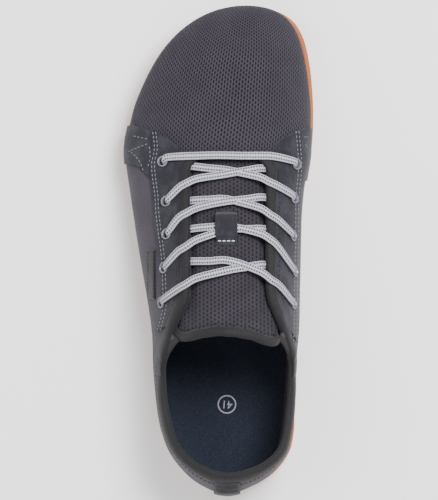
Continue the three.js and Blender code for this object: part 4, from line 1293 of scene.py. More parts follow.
    def make(self, knit: bpy.types.Material, panel: bpy.types.Material) -> bpy.types.Object:
        """Builds the body sheet with its creases and its wall."""
        points = self.field()
        normals = LAST.normal(points)
        height = sum(crease.height(points) for crease in self.creases)
        points = points + normals * height[..., None]
        front = (points[..., 1] > self.knit_until).astype(int)
        piece = Piece("upper_body").grid(points, self.sheet_map(points), 1 - front)
        pierce(piece.weld(), *EYELETS.places(), EYELETS.barrel)
        piece.facing(np.array([5.0, 0.0, 22.0]))
        made = piece.finish(knit, panel, slot="knit", replaces=["upper"])
        return thicken(made, WALL)


def coons(inner: Points, outer: Points, back: Points, front: Points, columns: int, rows: int) -> Points:
    """Field of points between four edge lines, each resampled evenly.

    Args:
        inner: line from the back to the front.
        outer: line from the back to the front.
        back: line from inner to outer.
        front: line from inner to outer.
        columns: steps from back to front.
        rows: steps from inner to outer.

    Returns:
        Columns plus one by rows plus one by x, y and z.
    """
    low, high = resample(inner, columns + 1)[:, None], resample(outer, columns + 1)[:, None]
    left, right = resample(back, rows + 1)[None], resample(front, rows + 1)[None]
    u = np.linspace(0, 1, columns + 1)[:, None, None]
    v = np.linspace(0, 1, rows + 1)[None, :, None]
    at_back = (1 - v) * left[:, :1] + v * left[:, -1:]
    at_front = (1 - v) * right[:, :1] + v * right[:, -1:]
    return (1 - v) * low + v * high + (1 - u) * (left - at_back) + u * (right - at_front)


def pierce(piece: Piece, centres: Points, axes: Points, radius: float) -> Piece:
    """Opens round holes in a sheet and draws their edges to a true circle.

    Args:
        piece: the sheet.
        centres: the holes' middles, in millimetres.
        axes: the holes' directions.
        radius: their radius in millimetres.

    Returns:
        The piece.
    """
    size = radius / 1000
    for place, direction in zip(centres, axes):
        centre, axis = Vector(PLACE.metres(place)), Vector(direction).normalized()
        where = np.array([v.co for v in piece.mesh.verts]) - np.array(centre)
        near = set(np.flatnonzero(np.linalg.norm(where, axis=1) < 2.2 * size).tolist())
        close = [v for i, v in enumerate(piece.mesh.verts) if i in near and not v.is_boundary]
        offsets = {v: (v.co - centre) - axis * (v.co - centre).dot(axis) for v in close}
        inside = [v for v in close if offsets[v].length < size]
        bmesh.ops.delete(piece.mesh, geom=inside, context="VERTS")
        for v in close:
            if v.is_valid and v.is_boundary:
                v.co += offsets[v].normalized() * size - offsets[v]
    return piece


@dataclass
class Eyelets:
    """Ten small rings, five a side, with their barrels through suede and cloth."""

    radius: float = 3.2
    bore: float = 1.95
    barrel: float = 2.4
    flange: float = 0.85
    lateral: Rows = (
        (-0.284, 0.675), (-0.264, 0.594), (-0.259, 0.528), (-0.271, 0.46), (-0.282, 0.39),
    )
    medial: Rows = (
        (0.392, 0.671), (0.378, 0.602), (0.37, 0.525), (0.378, 0.453), (0.371, 0.387),
    )

    def plan(self, hand: int) -> Points:
        """Middles of one side's eyelets in the plan, from the throat to the ankle."""
        rows = self.medial if hand > 0 else self.lateral
        return np.array([(across * BALL, along(at)) for across, at in rows])

    def places(self) -> tuple[Points, Points]:
        """Middles on the last and directions of all ten."""
        plan = np.concatenate([self.plan(-1), self.plan(1)])
        places = LAST.above(plan[:, 0], plan[:, 1])
        return places, LAST.normal(places)

    def ring(self) -> bmesh.types.BMesh:
        """One ring, spun from its section."""
        shape = bmesh.new()
        top = SUEDE + 3 * CLEAR
        section = (
            (self.bore, -WALL - 0.4), (self.bore + 0.15, top - 0.4), (self.bore + 0.3, top + 0.4),
            (self.bore + 0.62, top + self.flange * 0.85), (self.radius - 0.6, top + self.flange),
            (self.radius - 0.15, top + self.flange * 0.7), (self.radius, top + 0.15),
            (self.radius - 0.25, top - 0.25), (self.barrel, top - 0.4), (self.barrel, -WALL - 0.4),
        )
        corners = [shape.verts.new((r / 1000, 0, h / 1000)) for r, h in section]
        edges = [shape.edges.new(pair) for pair in zip(corners, corners[1:] + corners[:1])]
        bmesh.ops.spin(
            shape, geom=corners + edges, axis=(0, 0, 1), cent=(0, 0, 0), steps=28,
            angle=2 * math.pi, use_merge=True, use_duplicate=False,
        )
        bmesh.ops.remove_doubles(shape, verts=shape.verts, dist=1e-7)
        bmesh.ops.recalc_face_normals(shape, faces=shape.faces)
        return shape

    def make(self, metal: bpy.types.Material) -> bpy.types.Object:
        """Builds all rings as one piece."""
        places, axes = self.places()
        matrices = [turned_to(p, np.cross(n, [1.0, 0.0, 0.0]), n) for p, n in zip(places, axes)]
        names = [f"eyelet_{side}_{i}" for side in ("lateral", "medial") for i in range(1, 6)]
        rings = Piece("eyelet_rings").copies(self.ring(), matrices)
        return rings.finish(metal, slot="eyelet", replaces=names)


EYELETS = Eyelets()


@dataclass
class Eyestay:
    """One side's suede: a strip along the throat over a wing that runs down the flank to the sole."""

    hand: int
    inner: Rows
    outer: Rows
    back: Rows
    front: Rows
    column: Rows
    wing_front: Rows
    wing_back: Rows
    seams: tuple[Rows, ...]
    strip_lift: float = 1.55
    wing_lift: float = 1.05
    strip_columns: int = 170
    strip_rows: int = 40
    wing_columns: int = 56
    wing_rows: int = 90

    @property
    def side(self) -> str:
        """Name of the side."""
        return "medial" if self.hand > 0 else "lateral"

    def line(self, plan: Sequence[Sequence[float]], count: int = 60) -> Points:
        """Smooth line of the plan laid on the upper side."""
        flat = smooth_line(plan, count)
        return LAST.above(flat[:, 0], flat[:, 1])

    def down(self, plan: Sequence[Sequence[float]]) -> Points:
        """Line of the plan that runs on down the flank to the sole's rim."""
        top = self.line(plan)
        end = top[-1]
        levels = np.linspace(end[2], rim(end[1]) + 3 * CLEAR, 30)[1:]
        return np.concatenate([top, LAST.side(np.full(29, end[1]), levels, self.hand)])

    def strip(self) -> Points:
        """Field of the strip along the throat."""
        lines = [self.line(edge) for edge in (self.inner, self.outer, self.back, self.front)]
        flat = coons(*lines, self.strip_columns, self.strip_rows)
        return LAST.onto(flat, self.strip_lift)

    def wing(self) -> Points:
        """Field of the wing down the flank."""
        front, back = self.down(self.wing_front), self.down(self.wing_back)
        y = np.linspace(back[-1, 1], front[-1, 1], 40)
        foot = LAST.side(y, rim(y) + 3 * CLEAR, self.hand)
        flat = coons(self.line(self.column), foot, back, front, self.wing_columns, self.wing_rows)
        return LAST.onto(flat, self.wing_lift)

    def make(self, suede: bpy.types.Material) -> list[bpy.types.Object]:
        """Builds strip and wing with their eyelet holes."""
        made = []
        for name, points in (("strip", self.strip()), ("wing", self.wing())):
            piece = Piece(f"eyestay_{self.side}_{name}").grid(points)
            pierce(piece, *EYELETS.places(), EYELETS.barrel)
            piece.facing(np.array([5.0, 0.0, 10.0]))
            node = [f"eyestay_{self.side}"]
            made.append(thicken(piece.finish(suede, slot="suede", replaces=node), SUEDE, 0.4, 3))
        return made

    def stitch_rows(self, seam: Seam) -> list[Matrix]:
        """Places of the light stitches: two rows inside the lower edge and one along each seam."""
        places: list[Matrix] = []
        outer = smooth_line(self.outer, 140)
        for inset in (1.3, 2.9):
            flat = np.stack([outer[:, 0] - self.hand * inset, outer[:, 1]], -1)
            path = LAST.above(flat[:, 0], flat[:, 1], self.strip_lift + 0.12)
            places += seam.row(path, LAST.normal(path))
        for line in self.seams:
            path = LAST.onto(self.line(line, 40), self.wing_lift + 0.12)
            places += seam.row(path, LAST.normal(path))
        return places


LATERAL_STAY = Eyestay(
    hand=-1,
    inner=(
        (-27.6, -43.2), (-24.0, -36.6), (-20.4, -29.5), (-18.5, -22),
        (-18.0, 0), (-18.0, 40), (-18.6, 49), (-20.5, 54.8),
    ),
    outer=(
        (-34.3, -46.5), (-31.6, -36), (-31.0, -27.7), (-32.1, -5.5), (-34.3, 10.5), (-35.4, 19.4),
        (-36.2, 30), (-37.4, 38), (-38.2, 47.1), (-36.8, 55.9), (-37.8, 65.6),
    ),
    back=((-27.6, -43.2), (-31, -44.6), (-34.3, -46.5)),
    front=((-20.5, 54.8), (-26, 60.0), (-33.0, 64.0), (-37.8, 65.6)),
    column=((-33.0, 34), (-35.0, 42), (-35.4, 50), (-34.0, 57), (-34.4, 64.2)),
    wing_front=((-34.4, 64.2), (-40, 66.9), (-47.5, 69.2)),
    wing_back=((-33.0, 34), (-36.8, 36.6), (-39.5, 40.8), (-44.9, 46.0), (-49.8, 47.6)),
    seams=(
        ((-39.3, 58.7), (-45, 56.6), (-50.2, 54.4)),
        ((-49.0, 54.6), (-44.4, 49.6), (-41.5, 43.2)),
        ((-39.3, 61.2), (-47.6, 63.2)),
        ((-39.2, 45.5), (-38.0, 51), (-38.6, 57.5)),
    ),
)
MEDIAL_STAY = Eyestay(
    hand=1,
    inner=(
        (36.4, -43.2), (33.6, -36.6), (30.8, -29.5), (28.9, -22),
        (28.4, 0), (28.4, 40), (28.6, 49), (29.8, 54.8),
    ),
    outer=(
        (43.0, -52.4), (43.4, -46.9), (43.8, -22), (44.5, 8.3), (44.8, 27),
        (45.6, 36), (46.6, 46), (46.2, 56), (45.4, 66.2),
    ),
    back=((36.4, -43.2), (39.6, -47.4), (43.0, -52.4)),
    front=((29.8, 54.8), (34.3, 60.7), (40, 63.9), (45.4, 66.2)),
    column=((42.6, 30), (43.4, 40), (43.6, 52), (42.6, 65.0)),
    wing_front=((42.6, 65.0), (46.2, 66.6), (49.2, 67.8)),
    wing_back=((42.6, 30), (44.8, 31.6), (46.6, 35.2), (47.8, 38.4)),
    seams=(
        ((47.0, 62.6), (49.6, 62.8)),
        ((47.6, 58.7), (50.4, 55.4)),
    ),
)


@dataclass
class Collar:
    """Soft roll round the ankle, thickest at its top edge, with a seam groove below it outside."""

    height: float = 10.0
    thickness: float = 5.4
    stations: int = 260
    sides: int = 36
    fill: float = 0.75
    girth: float = 26.0

    def path(self) -> tuple[Points, Points, Points]:
        """Middle line of the roll, its outward and its upward directions."""
        angles = np.linspace(ANKLE.start + 9, ANKLE.end - 9, self.stations + 1)
        drop = self.height / 2
        centre = ANKLE.edge(angles, drop)
        ahead = ANKLE.edge(angles + 1.2, drop) - ANKLE.edge(angles - 1.2, drop)
        lean = ANKLE.edge(angles, drop - 2) - ANKLE.edge(angles, drop + 2)
        out = flat_array(ahead[:, 1], -ahead[:, 0], 0.0)
        out = unit(out)
        up = unit(flat_array(0.0, 0.0, lean[:, 2]) + out * np.sum(lean * out, axis=1, keepdims=True))
        return centre + out * (SUEDE - self.thickness / 2), out, up

    def rings(self) -> Points:
        """Rings of the roll: a full oval with a crowned top, a groove outside and a soft wave."""
        centre, out, up = self.path()
        turn = np.linspace(0, 2 * math.pi, self.sides, endpoint=False)
        across = np.sign(np.cos(turn)) * np.abs(np.cos(turn)) ** 0.85 * self.thickness / 2
        rise = np.sin(turn) * self.height / 2
        groove = 0.55 * bump_of(turn - math.radians(322), 0.16)
        along_share = np.linspace(0, 1, len(centre))[:, None]
        wave = 1 + 0.025 * np.sin(along_share * 61) + 0.02 * np.sin(along_share * 23 + turn)
        taper = 1 - 0.5 * (bump_of(along_share, 0.11) + bump_of(1 - along_share, 0.11))
        across = (across - groove * np.sign(across)) * wave * taper
        rise = (rise * wave)[..., None]
        return centre[:, None] + out[:, None] * across[..., None] + up[:, None] * rise

    def make(self, cloth: bpy.types.Material) -> bpy.types.Object:
        """Builds the roll."""
        rings = self.rings()
        uv = tube_map(rings[:, 0], np.linspace(0, self.girth, self.sides + 1))
        piece = Piece("collar_roll").tube(rings, uv).outward()
        made = piece.finish(cloth, slot="lining", replaces=["collar"])
        return made

    def seam_row(self, seam: Seam, drop: float, lift: float) -> list[Matrix]:
        """Places of the stitches on the quarter just below the roll."""
        angles = np.linspace(ANKLE.start - 10, ANKLE.end + 10, 200)
        path = ANKLE.edge(angles, drop)
        normals = LAST.normal(path)
        return seam.row(path + normals * lift, normals)


@dataclass
class FacingStrip:
    """Folded binding over the edge of one facing, from the throat's front into the collar."""

    hand: int
    plan: Rows
    width: float = 5.2
    reach: float = 26.0
    merge: float = 0.72
    stations: int = 170
    girth: float = 15.0
    swollen_from: float = 1.6
    section: Rows = (
        (1.0, 1.5), (0.94, 1.95), (0.82, 2.2), (0.62, 2.32), (0.4, 2.35), (0.22, 2.25), (0.06, 1.9),
        (-0.05, 1.3), (-0.09, 0.5), (-0.1, -0.4), (-0.07, -1.2), (0.0, -1.9), (0.12, -2.3),
        (0.3, -2.45), (0.5, -2.35), (0.55, -2.0), (0.5, -0.6), (0.6, 0.6), (0.85, 1.2),
    )

    def rings(self) -> Points:
        """Rings of the fold: rounded over the edge, flat on the suede, tucked below the cloth."""
        line = smooth_line(self.plan, 110)
        stop = ANKLE.start if self.hand > 0 else ANKLE.end
        angles = np.linspace(stop - 4 * self.hand, stop - self.reach * self.hand, 30)
        path = np.concatenate([LAST.above(line[:, 0], line[:, 1]), ANKLE.edge(angles, 0.6)])
        path = resample(smooth_line(path[::7], 200), self.stations + 1)
        t = np.linspace(0, 1, self.stations + 1)[:, None]
        normal = LAST.normal(path)
        _, side, _ = frames_along(path, normal)
        side = side * np.sign(side[60, 0] * self.hand)
        swell = 1 + 0.03 * np.sin(t * 37) + 0.02 * np.sin(t * 71 + 1)
        ease = np.clip((t - self.merge) / (1 - self.merge), 0, 1)
        share, height = np.array(self.section).T[:, None]
        across = share * self.width * (1 + 0.7 * ease)
        lift = height * np.where(height > self.swollen_from, swell, 1) * (1 - 0.78 * ease**2)
        return path[:, None] + side[:, None] * across[..., None] + normal[:, None] * lift[..., None]

    def make(self, cloth: bpy.types.Material) -> bpy.types.Object:
        """Builds the strip."""
        rings = self.rings()
        side = "medial" if self.hand > 0 else "lateral"
        uv = tube_map(rings[:, 3], np.linspace(0, self.girth, rings.shape[1] + 1))
        return Piece(f"facing_strip_{side}").tube(rings, uv).outward().finish(cloth, slot="lining")

    def stitch_rows(self, seam: Seam) -> list[Matrix]:
        """Places of the dark stitches just outside the fold."""
        line = smooth_line(self.plan, 120)[8:104]
        path = LAST.above(line[:, 0] + self.hand * (self.width + 0.6), line[:, 1], 1.65)
        return seam.row(path, LAST.normal(path))


FACINGS = (
    FacingStrip(
        -1,
        ((-12.6, 49.6), (-15.2, 46.5), (-16.6, 41), (-16.6, 10))
        + ((-16.6, -18), (-17.9, -29.5), (-21.6, -36.5), (-25.2, -44)),
    ),
    FacingStrip(
        1,
        ((22.8, 49.6), (25.5, 46.5), (27.0, 41), (27.0, 10))
        + ((27.0, -18), (28.6, -29.5), (31.6, -36.5), (34.6, -44)),
    ),
)


@dataclass
class Tongue:
    """Knit tongue under the facings, a bound rear edge, and the keeper that holds the laces."""

    front: float = THROAT_Y + 5.5
    back: float = -49.1
    half: float = 27.3
    thickness: float = 2.8
    binding: float = 5.5
    columns: int = 96
    rows: int = 64
    binding_height: float = 4.4
    binding_girth: float = 16.0
    lace_places: tuple[float, ...] = (45, 27, 10.5, -6)
    bow: Rows = (
        (-26.6, -45.6), (-25.4, -48.0), (-20.5, -48.6), (-14, -46.9), (-2.2, -44.9),
        (10, -45.4), (21, -47.4), (28.5, -50.2), (33.2, -51.0), (34.6, -48.6),
    )

    def lift(self, x: Points, y: Points) -> Points:
        """Height of the top side: sunk under the facings, swollen between the laces."""
        away = np.abs(x - THROAT_X)
        edge = np.clip((away - 17.5) / 4.5, 0, 1)
        free = np.clip((y - 40) / 12, 0, 1)
        swell = 0.5 * np.cos(np.clip(away / 20, 0, 1) * math.pi / 2) ** 2
        pinch = sum(bump_of(y - at, 4.5) for at in self.lace_places)
        behind = np.clip((-y - 26) / 14, 0, 1)
        sink = 1.9 * edge**2 * (3 - 2 * edge) * (1 - 0.55 * behind) + 1.2 * free
        return -WALL - CLEAR - sink + swell * (1 - 0.8 * np.minimum(pinch, 1))

    def field(self) -> Points:
        """Field of the top side."""
        v = np.linspace(0, 1, self.columns + 1)
        even = self.back + (self.front - self.back) * v
        end = np.clip((even - (self.front - 9)) / 9, 0, 1)
        half = self.half - 9 * end**2 + 3.4 * np.clip((-even - 27) / 22, 0, 1)
        x = THROAT_X + half[:, None] * np.linspace(-1, 1, self.rows + 1)
        rear = self.rear()
        back = np.interp(x, rear[:, 0], rear[:, 1])
        y = back + (self.front - back) * v[:, None]
        return LAST.above(x, y, self.lift(x, y))

    def sheet(self, knit: bpy.types.Material) -> bpy.types.Object:
        """Builds the knit sheet."""
        points = self.field()
        uv = np.stack([points[..., 0] - THROAT_X, points[..., 1]], axis=-1)
        piece = Piece("tongue_knit").grid(points, uv).facing(np.array([5.0, 0.0, 0.0]))
        made = piece.finish(knit, slot="tongue_knit", replaces=["tongue"])
        return thicken(made, self.thickness, 0.6, 3)

    def rear(self) -> Points:
        """Middle line of the binding in the plan, bowed towards the toe."""
        return smooth_line(self.bow, 150)

    def edge(self, cloth: bpy.types.Material) -> bpy.types.Object:
        """Builds the binding round the rear edge."""
        x, y = self.rear().T
        path = LAST.above(x, y, -WALL - CLEAR - self.thickness / 2 + 0.5)
        section = oval(self.binding, self.binding_height, 20, 2.6)
        swell = 1 + 0.04 * np.sin(np.linspace(0, 40, 150))[:, None, None]
        rings = swept(path, LAST.normal(path), section[None] * swell)
        uv = tube_map(path, np.linspace(0, self.binding_girth, 21))
        piece = Piece("tongue_binding_roll").tube(rings, uv).outward()
        return piece.finish(cloth, slot="lining", replaces=["tongue_binding"])

    def stitch_rows(self, seam: Seam) -> list[Matrix]:
        """Places of the dark stitches in front of the binding."""
        line = self.rear()[12:-12]
        x, y = line[:, 0], line[:, 1] + self.binding / 2 + 0.9
        path = LAST.above(x, y, self.lift(x, y) + 0.15)
        return seam.row(path, LAST.normal(path))


@dataclass
class Keeper:
    """Suede tab sewn to the tongue at both ends, arched over the third crossing."""

    middle: float = 0.039 * BALL
    back: float = along(0.508)
    front: float = along(0.579)
    width: float = 11.8
    thickness: float = 1.1
    flange: float = 1.2
    arch: Rows = (
        (0, -1.15), (0.08, -1.1), (0.14, -0.9), (0.18, 1.8), (0.24, 2.9), (0.36, 3.2),
        (0.5, 3.25), (0.68, 3.0), (0.82, 1.9), (0.93, -0.95), (1, -1.1),
    )

    def field(self) -> Points:
        """Field of the top side, with a wider foot at the rear."""
        line = smooth_line([(s * 20, h, 0) for s, h in self.arch], 70)
        y = self.back + (self.front - self.back) * line[:, 0] / 20
        half = self.width / 2 + self.flange * np.clip((self.back + 2.2 - y) / 1.4, 0, 1)
        x = self.middle + half[:, None] * np.linspace(-1, 1, 29)
        crown = 0.35 * (1 - np.linspace(-1, 1, 29) ** 2)
        return LAST.above(x, np.broadcast_to(y[:, None], x.shape), line[:, 1:2] + crown)

    def make(self, suede: bpy.types.Material) -> bpy.types.Object:
        """Builds the tab."""
        piece = Piece("keeper_tab").grid(self.field()).facing(np.array([5.0, 10.0, 20.0]))
        made = piece.finish(suede, slot="suede", replaces=["lace_keeper"])
        return thicken(made, self.thickness, 0.35, 3)

    def stitch_rows(self) -> list[Matrix]:
        """Places of the four bright stitches across the rear foot."""
        seam = Seam(1.7, 0.85, 0.8, 0.6)
        x = np.linspace(self.middle - 5.2, self.middle + 5.2, 30)
        path = LAST.above(x, self.back + 2.2, -0.6)
        return seam.row(path, LAST.normal(path))


Shares = tuple[float, float, float]
Route = list[tuple[float, float, float, float]]


@dataclass
class Laces:
    """Two flat lace ends: a bar over the throat's front, then four crossings up to the ankle."""

    width: float = 4.5
    thickness: float = 1.7
    rest: float = SUEDE + 4 * CLEAR
    below: float = -WALL - 1.0
    sides: int = 16
    steps: int = 90
    bar_at: float = along(0.684)
    bunch: tuple[float, float] = (3.3, 2.5)
    crossings: tuple[tuple[Shares, Shares], ...] = (
        ((0.668, 0.658, 0.63), (0.664, 0.65, 0.628)),
        ((0.598, 0.599, 0.564), (0.604, 0.594, 0.568)),
        ((0.54, 0.545, 0.514), (0.54, 0.536, 0.5)),
        ((0.474, 0.475, 0.434), (0.468, 0.455, 0.424)),
    )

    def crossing_route(
        self, sign: int, shares: Shares, start: Points, eyelet: Points, under: bool
    ) -> Route:
        """Route of one strap.

        Args:
            sign: 1 towards the medial side, -1 towards the lateral.
            shares: places along the shoe under the first edge, at the middle and over the other edge.
            start: plan of the eyelet whose hole it comes from.
            eyelet: plan of the eyelet that it goes into.
            under: whether it passes below the other strap.

        Returns:
            Rows of x, y, height of the lace's middle over the last and how far it is gathered.
        """
        first, middle, edge = (along(s) for s in shares)
        near = THROAT_X - sign * THROAT_HALF
        far = THROAT_X + sign * THROAT_HALF
        half = self.thickness / 2
        centre = -0.55 + half + (-0.25 if under else 0.75)
        down = self.rest + half
        return [
            (start[0], start[1], self.below + 0.4, 0.9),
            (start[0] + sign * 3.0, start[1] * 0.7 + first * 0.3, self.below - 0.1, 0.5),
            (near - sign * 3.0, first, self.below - 0.1, 0.1),
            (near + sign * 1.2, first * 0.97 + middle * 0.03, -0.9, 0.0),
            (near + sign * 5.0, first * 0.8 + middle * 0.2, centre - 0.35, 0.0),
            (near + sign * 11.0, first * 0.48 + middle * 0.52, centre - 0.15, 0.0),
            (THROAT_X, middle, centre, 0.0),
            (far - sign * 6.0, middle * 0.45 + edge * 0.55, self.rest - 0.7 + half, 0.0),
            (far, edge, down + 0.35, 0.0),
            (far + sign * 4.5, edge * 0.74 + eyelet[1] * 0.26, down + 0.2, 0.03),
            (eyelet[0] - sign * 2.7, eyelet[1] + 2.0, down + 0.35, 0.3),
            (eyelet[0] - sign * 1.0, eyelet[1] + 0.6, down - 0.5, 0.75),
            (eyelet[0] - sign * 0.1, eyelet[1], 0.4, 0.95),
            (eyelet[0], eyelet[1], self.below + 0.4, 0.95),
        ]

    def bar_route(self) -> Route:
        """Route of the bar between the two front eyelets."""
        left, right = EYELETS.plan(-1)[0], EYELETS.plan(1)[0]
        down = self.rest + self.thickness / 2
        half = [
            (left[0], left[1], self.below + 0.4, 0.95),
            (left[0] + 0.1, left[1], 0.4, 0.95),
            (left[0] + 0.8, left[1] + 0.4, down - 0.6, 0.75),
            (left[0] + 2.6, left[1] + 1.6, down + 0.3, 0.35),
            (THROAT_X - THROAT_HALF - 2.5, self.bar_at - 0.2, down + 0.2, 0.0),
            (THROAT_X - THROAT_HALF + 3, self.bar_at, down + 0.1, 0.0),
        ]
        other = [(right[0] - (x - left[0]), y - left[1] + right[1], z, g) for x, y, z, g in half[:4]]
        other += [(2 * THROAT_X - x, y, z, g) for x, y, z, g in half[4:]]
        middle = (THROAT_X, self.bar_at + 0.2, self.rest - 0.5 + self.thickness / 2, 0.0)
        return half + [middle] + other[::-1]

    def strap(self, piece: Piece, route: Route, phase: float) -> None:
        """Adds one strap to a piece, with its braid's UV in millimetres."""
        line = smooth_line(route, self.steps + 1)
        plan = LAST.above(line[:, 0], line[:, 1], line[:, 2])
        path = resample(np.concatenate([plan, line[:, 3:]], axis=1), self.steps + 1)
        gather = np.clip(path[:, 3], 0, 1)[:, None, None]
        centre = path[:, :3]
        normals = LAST.normal(LAST.above(centre[:, 0], centre[:, 1]))
        ahead = unit(np.gradient(centre, axis=0))
        steep = np.abs(np.sum(ahead * normals, axis=1))[:, None]
        forward = flat_array(0.0, 1.0, np.zeros(len(centre)))
        side = np.cross(ahead, normals)
        side /= np.maximum(np.linalg.norm(side, axis=1, keepdims=True), 1e-6)
        side = np.where(np.sum(side * forward, axis=1, keepdims=True) < 0, -side, side)
        side = side * (1 - steep**2) + forward * steep**2
        side = unit(side - ahead * np.sum(side * ahead, axis=1, keepdims=True))
        up = np.cross(ahead, side)
        up = np.where(np.sum(up * normals, axis=1, keepdims=True) < -1e-3, -up, up)
        flat = oval(self.width, self.thickness, self.sides, 2.7)
        bunch = oval(*self.bunch, self.sides, 2.2)
        section = flat * (1 - gather) + bunch * gather
        dip = 0.12 * np.cos(section[..., :1] / self.width * 2 * math.pi * 2)
        section = np.concatenate([section[..., :1], section[..., 1:] * (1 + dip)], axis=-1)
        wave = 0.12 * np.sin(np.linspace(0, 19, self.steps + 1) + phase)[:, None, None]
        shift = side[:, None] * (section[..., :1] + wave) + up[:, None] * section[..., 1:]
        rings = centre[:, None] + shift
        piece.tube(rings, tube_map(centre, np.concatenate([flat[:, 0], flat[:1, 0]]), phase))

    def make(self, braid: bpy.types.Material) -> list[bpy.types.Object]:
        """Builds the bar and the four crossings."""
        bar = Piece("lace_bar")
        self.strap(bar, self.bar_route(), 0.0)
        made = [bar.outward().finish(braid, slot="lace", replaces=["lace_bar_1"])]
        lateral, medial = EYELETS.plan(-1), EYELETS.plan(1)
        for i, (from_lateral, from_medial) in enumerate(self.crossings):
            piece = Piece(f"lace_crossing_{i + 1}")
            lower = self.crossing_route(1, from_lateral, lateral[i], medial[i + 1], True)
            upper = self.crossing_route(-1, from_medial, medial[i], lateral[i + 1], False)
            self.strap(piece, lower, 1.7 * i)
            self.strap(piece, upper, 2.3 * i + 1)
            made.append(piece.outward().finish(braid, slot="lace", replaces=[f"lace_cross_{i + 1}"]))
        return made


@dataclass
class Insole:
    """Cloth-covered footbed, slightly cupped, with a plain size number in a ring at the heel."""

    columns: int = 120
    rows: int = 40
    thickness: float = 3.0
    cup: float = 2.0
    ring_x: float = 4.65
    ring_y: float = -88.6
    ring_radius: float = 5.3
    ring_hole: float = 0.86
    mark_turn: float = 176.0
    number: str = "41"
    number_size: float = 6.4

    def top(self, y: Points, across: Points) -> Points:
        """Height of the insole's top at a place; across is -1 and 1 at its edges."""
        return footbed(y) + CLEAR + self.thickness - 0.3 + self.cup * np.abs(across) ** 5

    def field(self) -> Points:
        """Field of the top, inside the upper's wall."""
        spread = (1 - np.cos(np.linspace(0.05, math.pi - 0.05, self.columns + 1))) / 2
        y = LAST.start + LAST.length * np.linspace(0, 1, 600)
        spine = flat_array(LAST.ridge(share_of(y)), y, footbed(y) + 4)
        within = y[LAST.level(spine) < 0]
        source = within[0] + (within[-1] - within[0]) * spread
        gap = WALL - 0.5
        y = within[0] + gap + (within[-1] - within[0] - 2 * gap) * spread
        edges = [LAST.side(source, footbed(y) + 4, hand)[:, 0] for hand in (-1, 1)]
        middle, half = (edges[0] + edges[1]) / 2, np.maximum((edges[1] - edges[0]) / 2 - gap, 0.6)
        across = np.linspace(-1, 1, self.rows + 1)
        x = middle[:, None] + half[:, None] * across
        y = np.broadcast_to(y[:, None], x.shape)
        return flat_array(x, y, self.top(y, across[None, :]))

    def mark(self, print_paint: bpy.types.Material) -> bpy.types.Object:
        """Builds the printed ring and number as one thin mesh, read from the toe."""
        piece = Piece("size_mark")
        mesh = piece.mesh
        level = float(self.top(np.array([self.ring_y]), np.array([0.0]))[0]) + 0.08
        size = self.ring_radius / 1000
        ring = bmesh.ops.create_circle(mesh, cap_ends=False, segments=72, radius=size)["verts"]
        edges = list({e for v in ring for e in v.link_edges})
        grown = bmesh.ops.extrude_edge_only(mesh, edges=edges)["geom"]
        inner = [g for g in grown if isinstance(g, bmesh.types.BMVert)]
        bmesh.ops.scale(mesh, vec=(self.ring_hole, self.ring_hole, 1), verts=inner)
        turn = Matrix.Rotation(math.radians(self.mark_turn), 4, "Z")
        curve = bpy.data.curves.new("number", "FONT")
        curve.body, curve.size = self.number, self.number_size / 1000
        curve.align_x = curve.align_y = "CENTER"
        text = bpy.data.objects.new("number", curve)
        bpy.context.scene.collection.objects.link(text)
        block = bpy.data.meshes.new_from_object(text)
        bpy.data.objects.remove(text)
        mesh.from_mesh(block)
        bpy.data.meshes.remove(block)
        place = Matrix.Translation(Vector(PLACE.metres([self.ring_x, self.ring_y, level])))
        bmesh.ops.transform(mesh, matrix=place @ turn, verts=mesh.verts)
        for face in mesh.faces:
            if face.normal.z < 0:
                face.normal_flip()
        return piece.finish(print_paint, slot="insole", edge=Edge.CRISP)

    def make(self, cloth: bpy.types.Material, print_paint: bpy.types.Material) -> list[bpy.types.Object]:
        """Builds the insole and its mark."""
        piece = Piece("insole_cloth").grid(self.field()).facing(np.array([5.0, 0.0, -60.0]))
        made = piece.finish(cloth, slot="insole", replaces=["insole"])
        return [thicken(made, self.thickness - 0.4, 0.5), self.mark(print_paint)]


@dataclass
class SideTag:
    """Narrow bare woven tag sewn on the lateral flank."""

    back: float = along(0.396)
    front: float = along(0.498)
    inner: float = -0.328 * BALL
    outer: float = -0.366 * BALL
    lift: float = 0.95

    def make(self, weave: bpy.types.Material) -> bpy.types.Object:
        """Builds the tag, folded at both ends."""
        v, u = np.linspace(0, 1, 61), np.linspace(0, 1, 15)
        y = self.back + (self.front - self.back) * v[:, None] + 0 * u
        x = self.inner + (self.outer - self.inner) * u[None, :] + 0 * v[:, None]
        soft = 0.12 * np.sin(v * 17)[:, None] * np.sin(u * math.pi)[None, :]
        sink = 0.4 * (bump_of(v, 0.02) + bump_of(1 - v, 0.02))[:, None]
        points = LAST.above(x, y, self.lift + soft - sink)
        uv = np.stack([u[None, :] * 5 + 0 * y, y], axis=-1)
        piece = Piece("side_tag").grid(points, uv).facing(np.array([5.0, 0.0, 20.0]))
        return thicken(piece.finish(weave, slot="label", replaces=["side_label"]), 0.6, 0.2, 2)

    def stitch_rows(self) -> list[Matrix]:
        """Places of the stitches along the tag's long edges."""
        seam = Seam(1.3, 0.7, 0.4, 0.35)
        y = np.linspace(self.back + 0.8, self.front - 0.8, 60)
        places: list[Matrix] = []
        for x in (self.inner - 0.5, self.outer + 0.5):
            path = LAST.above(x, y, self.lift + 0.08)
            places += seam.row(path, LAST.normal(path))
        return places


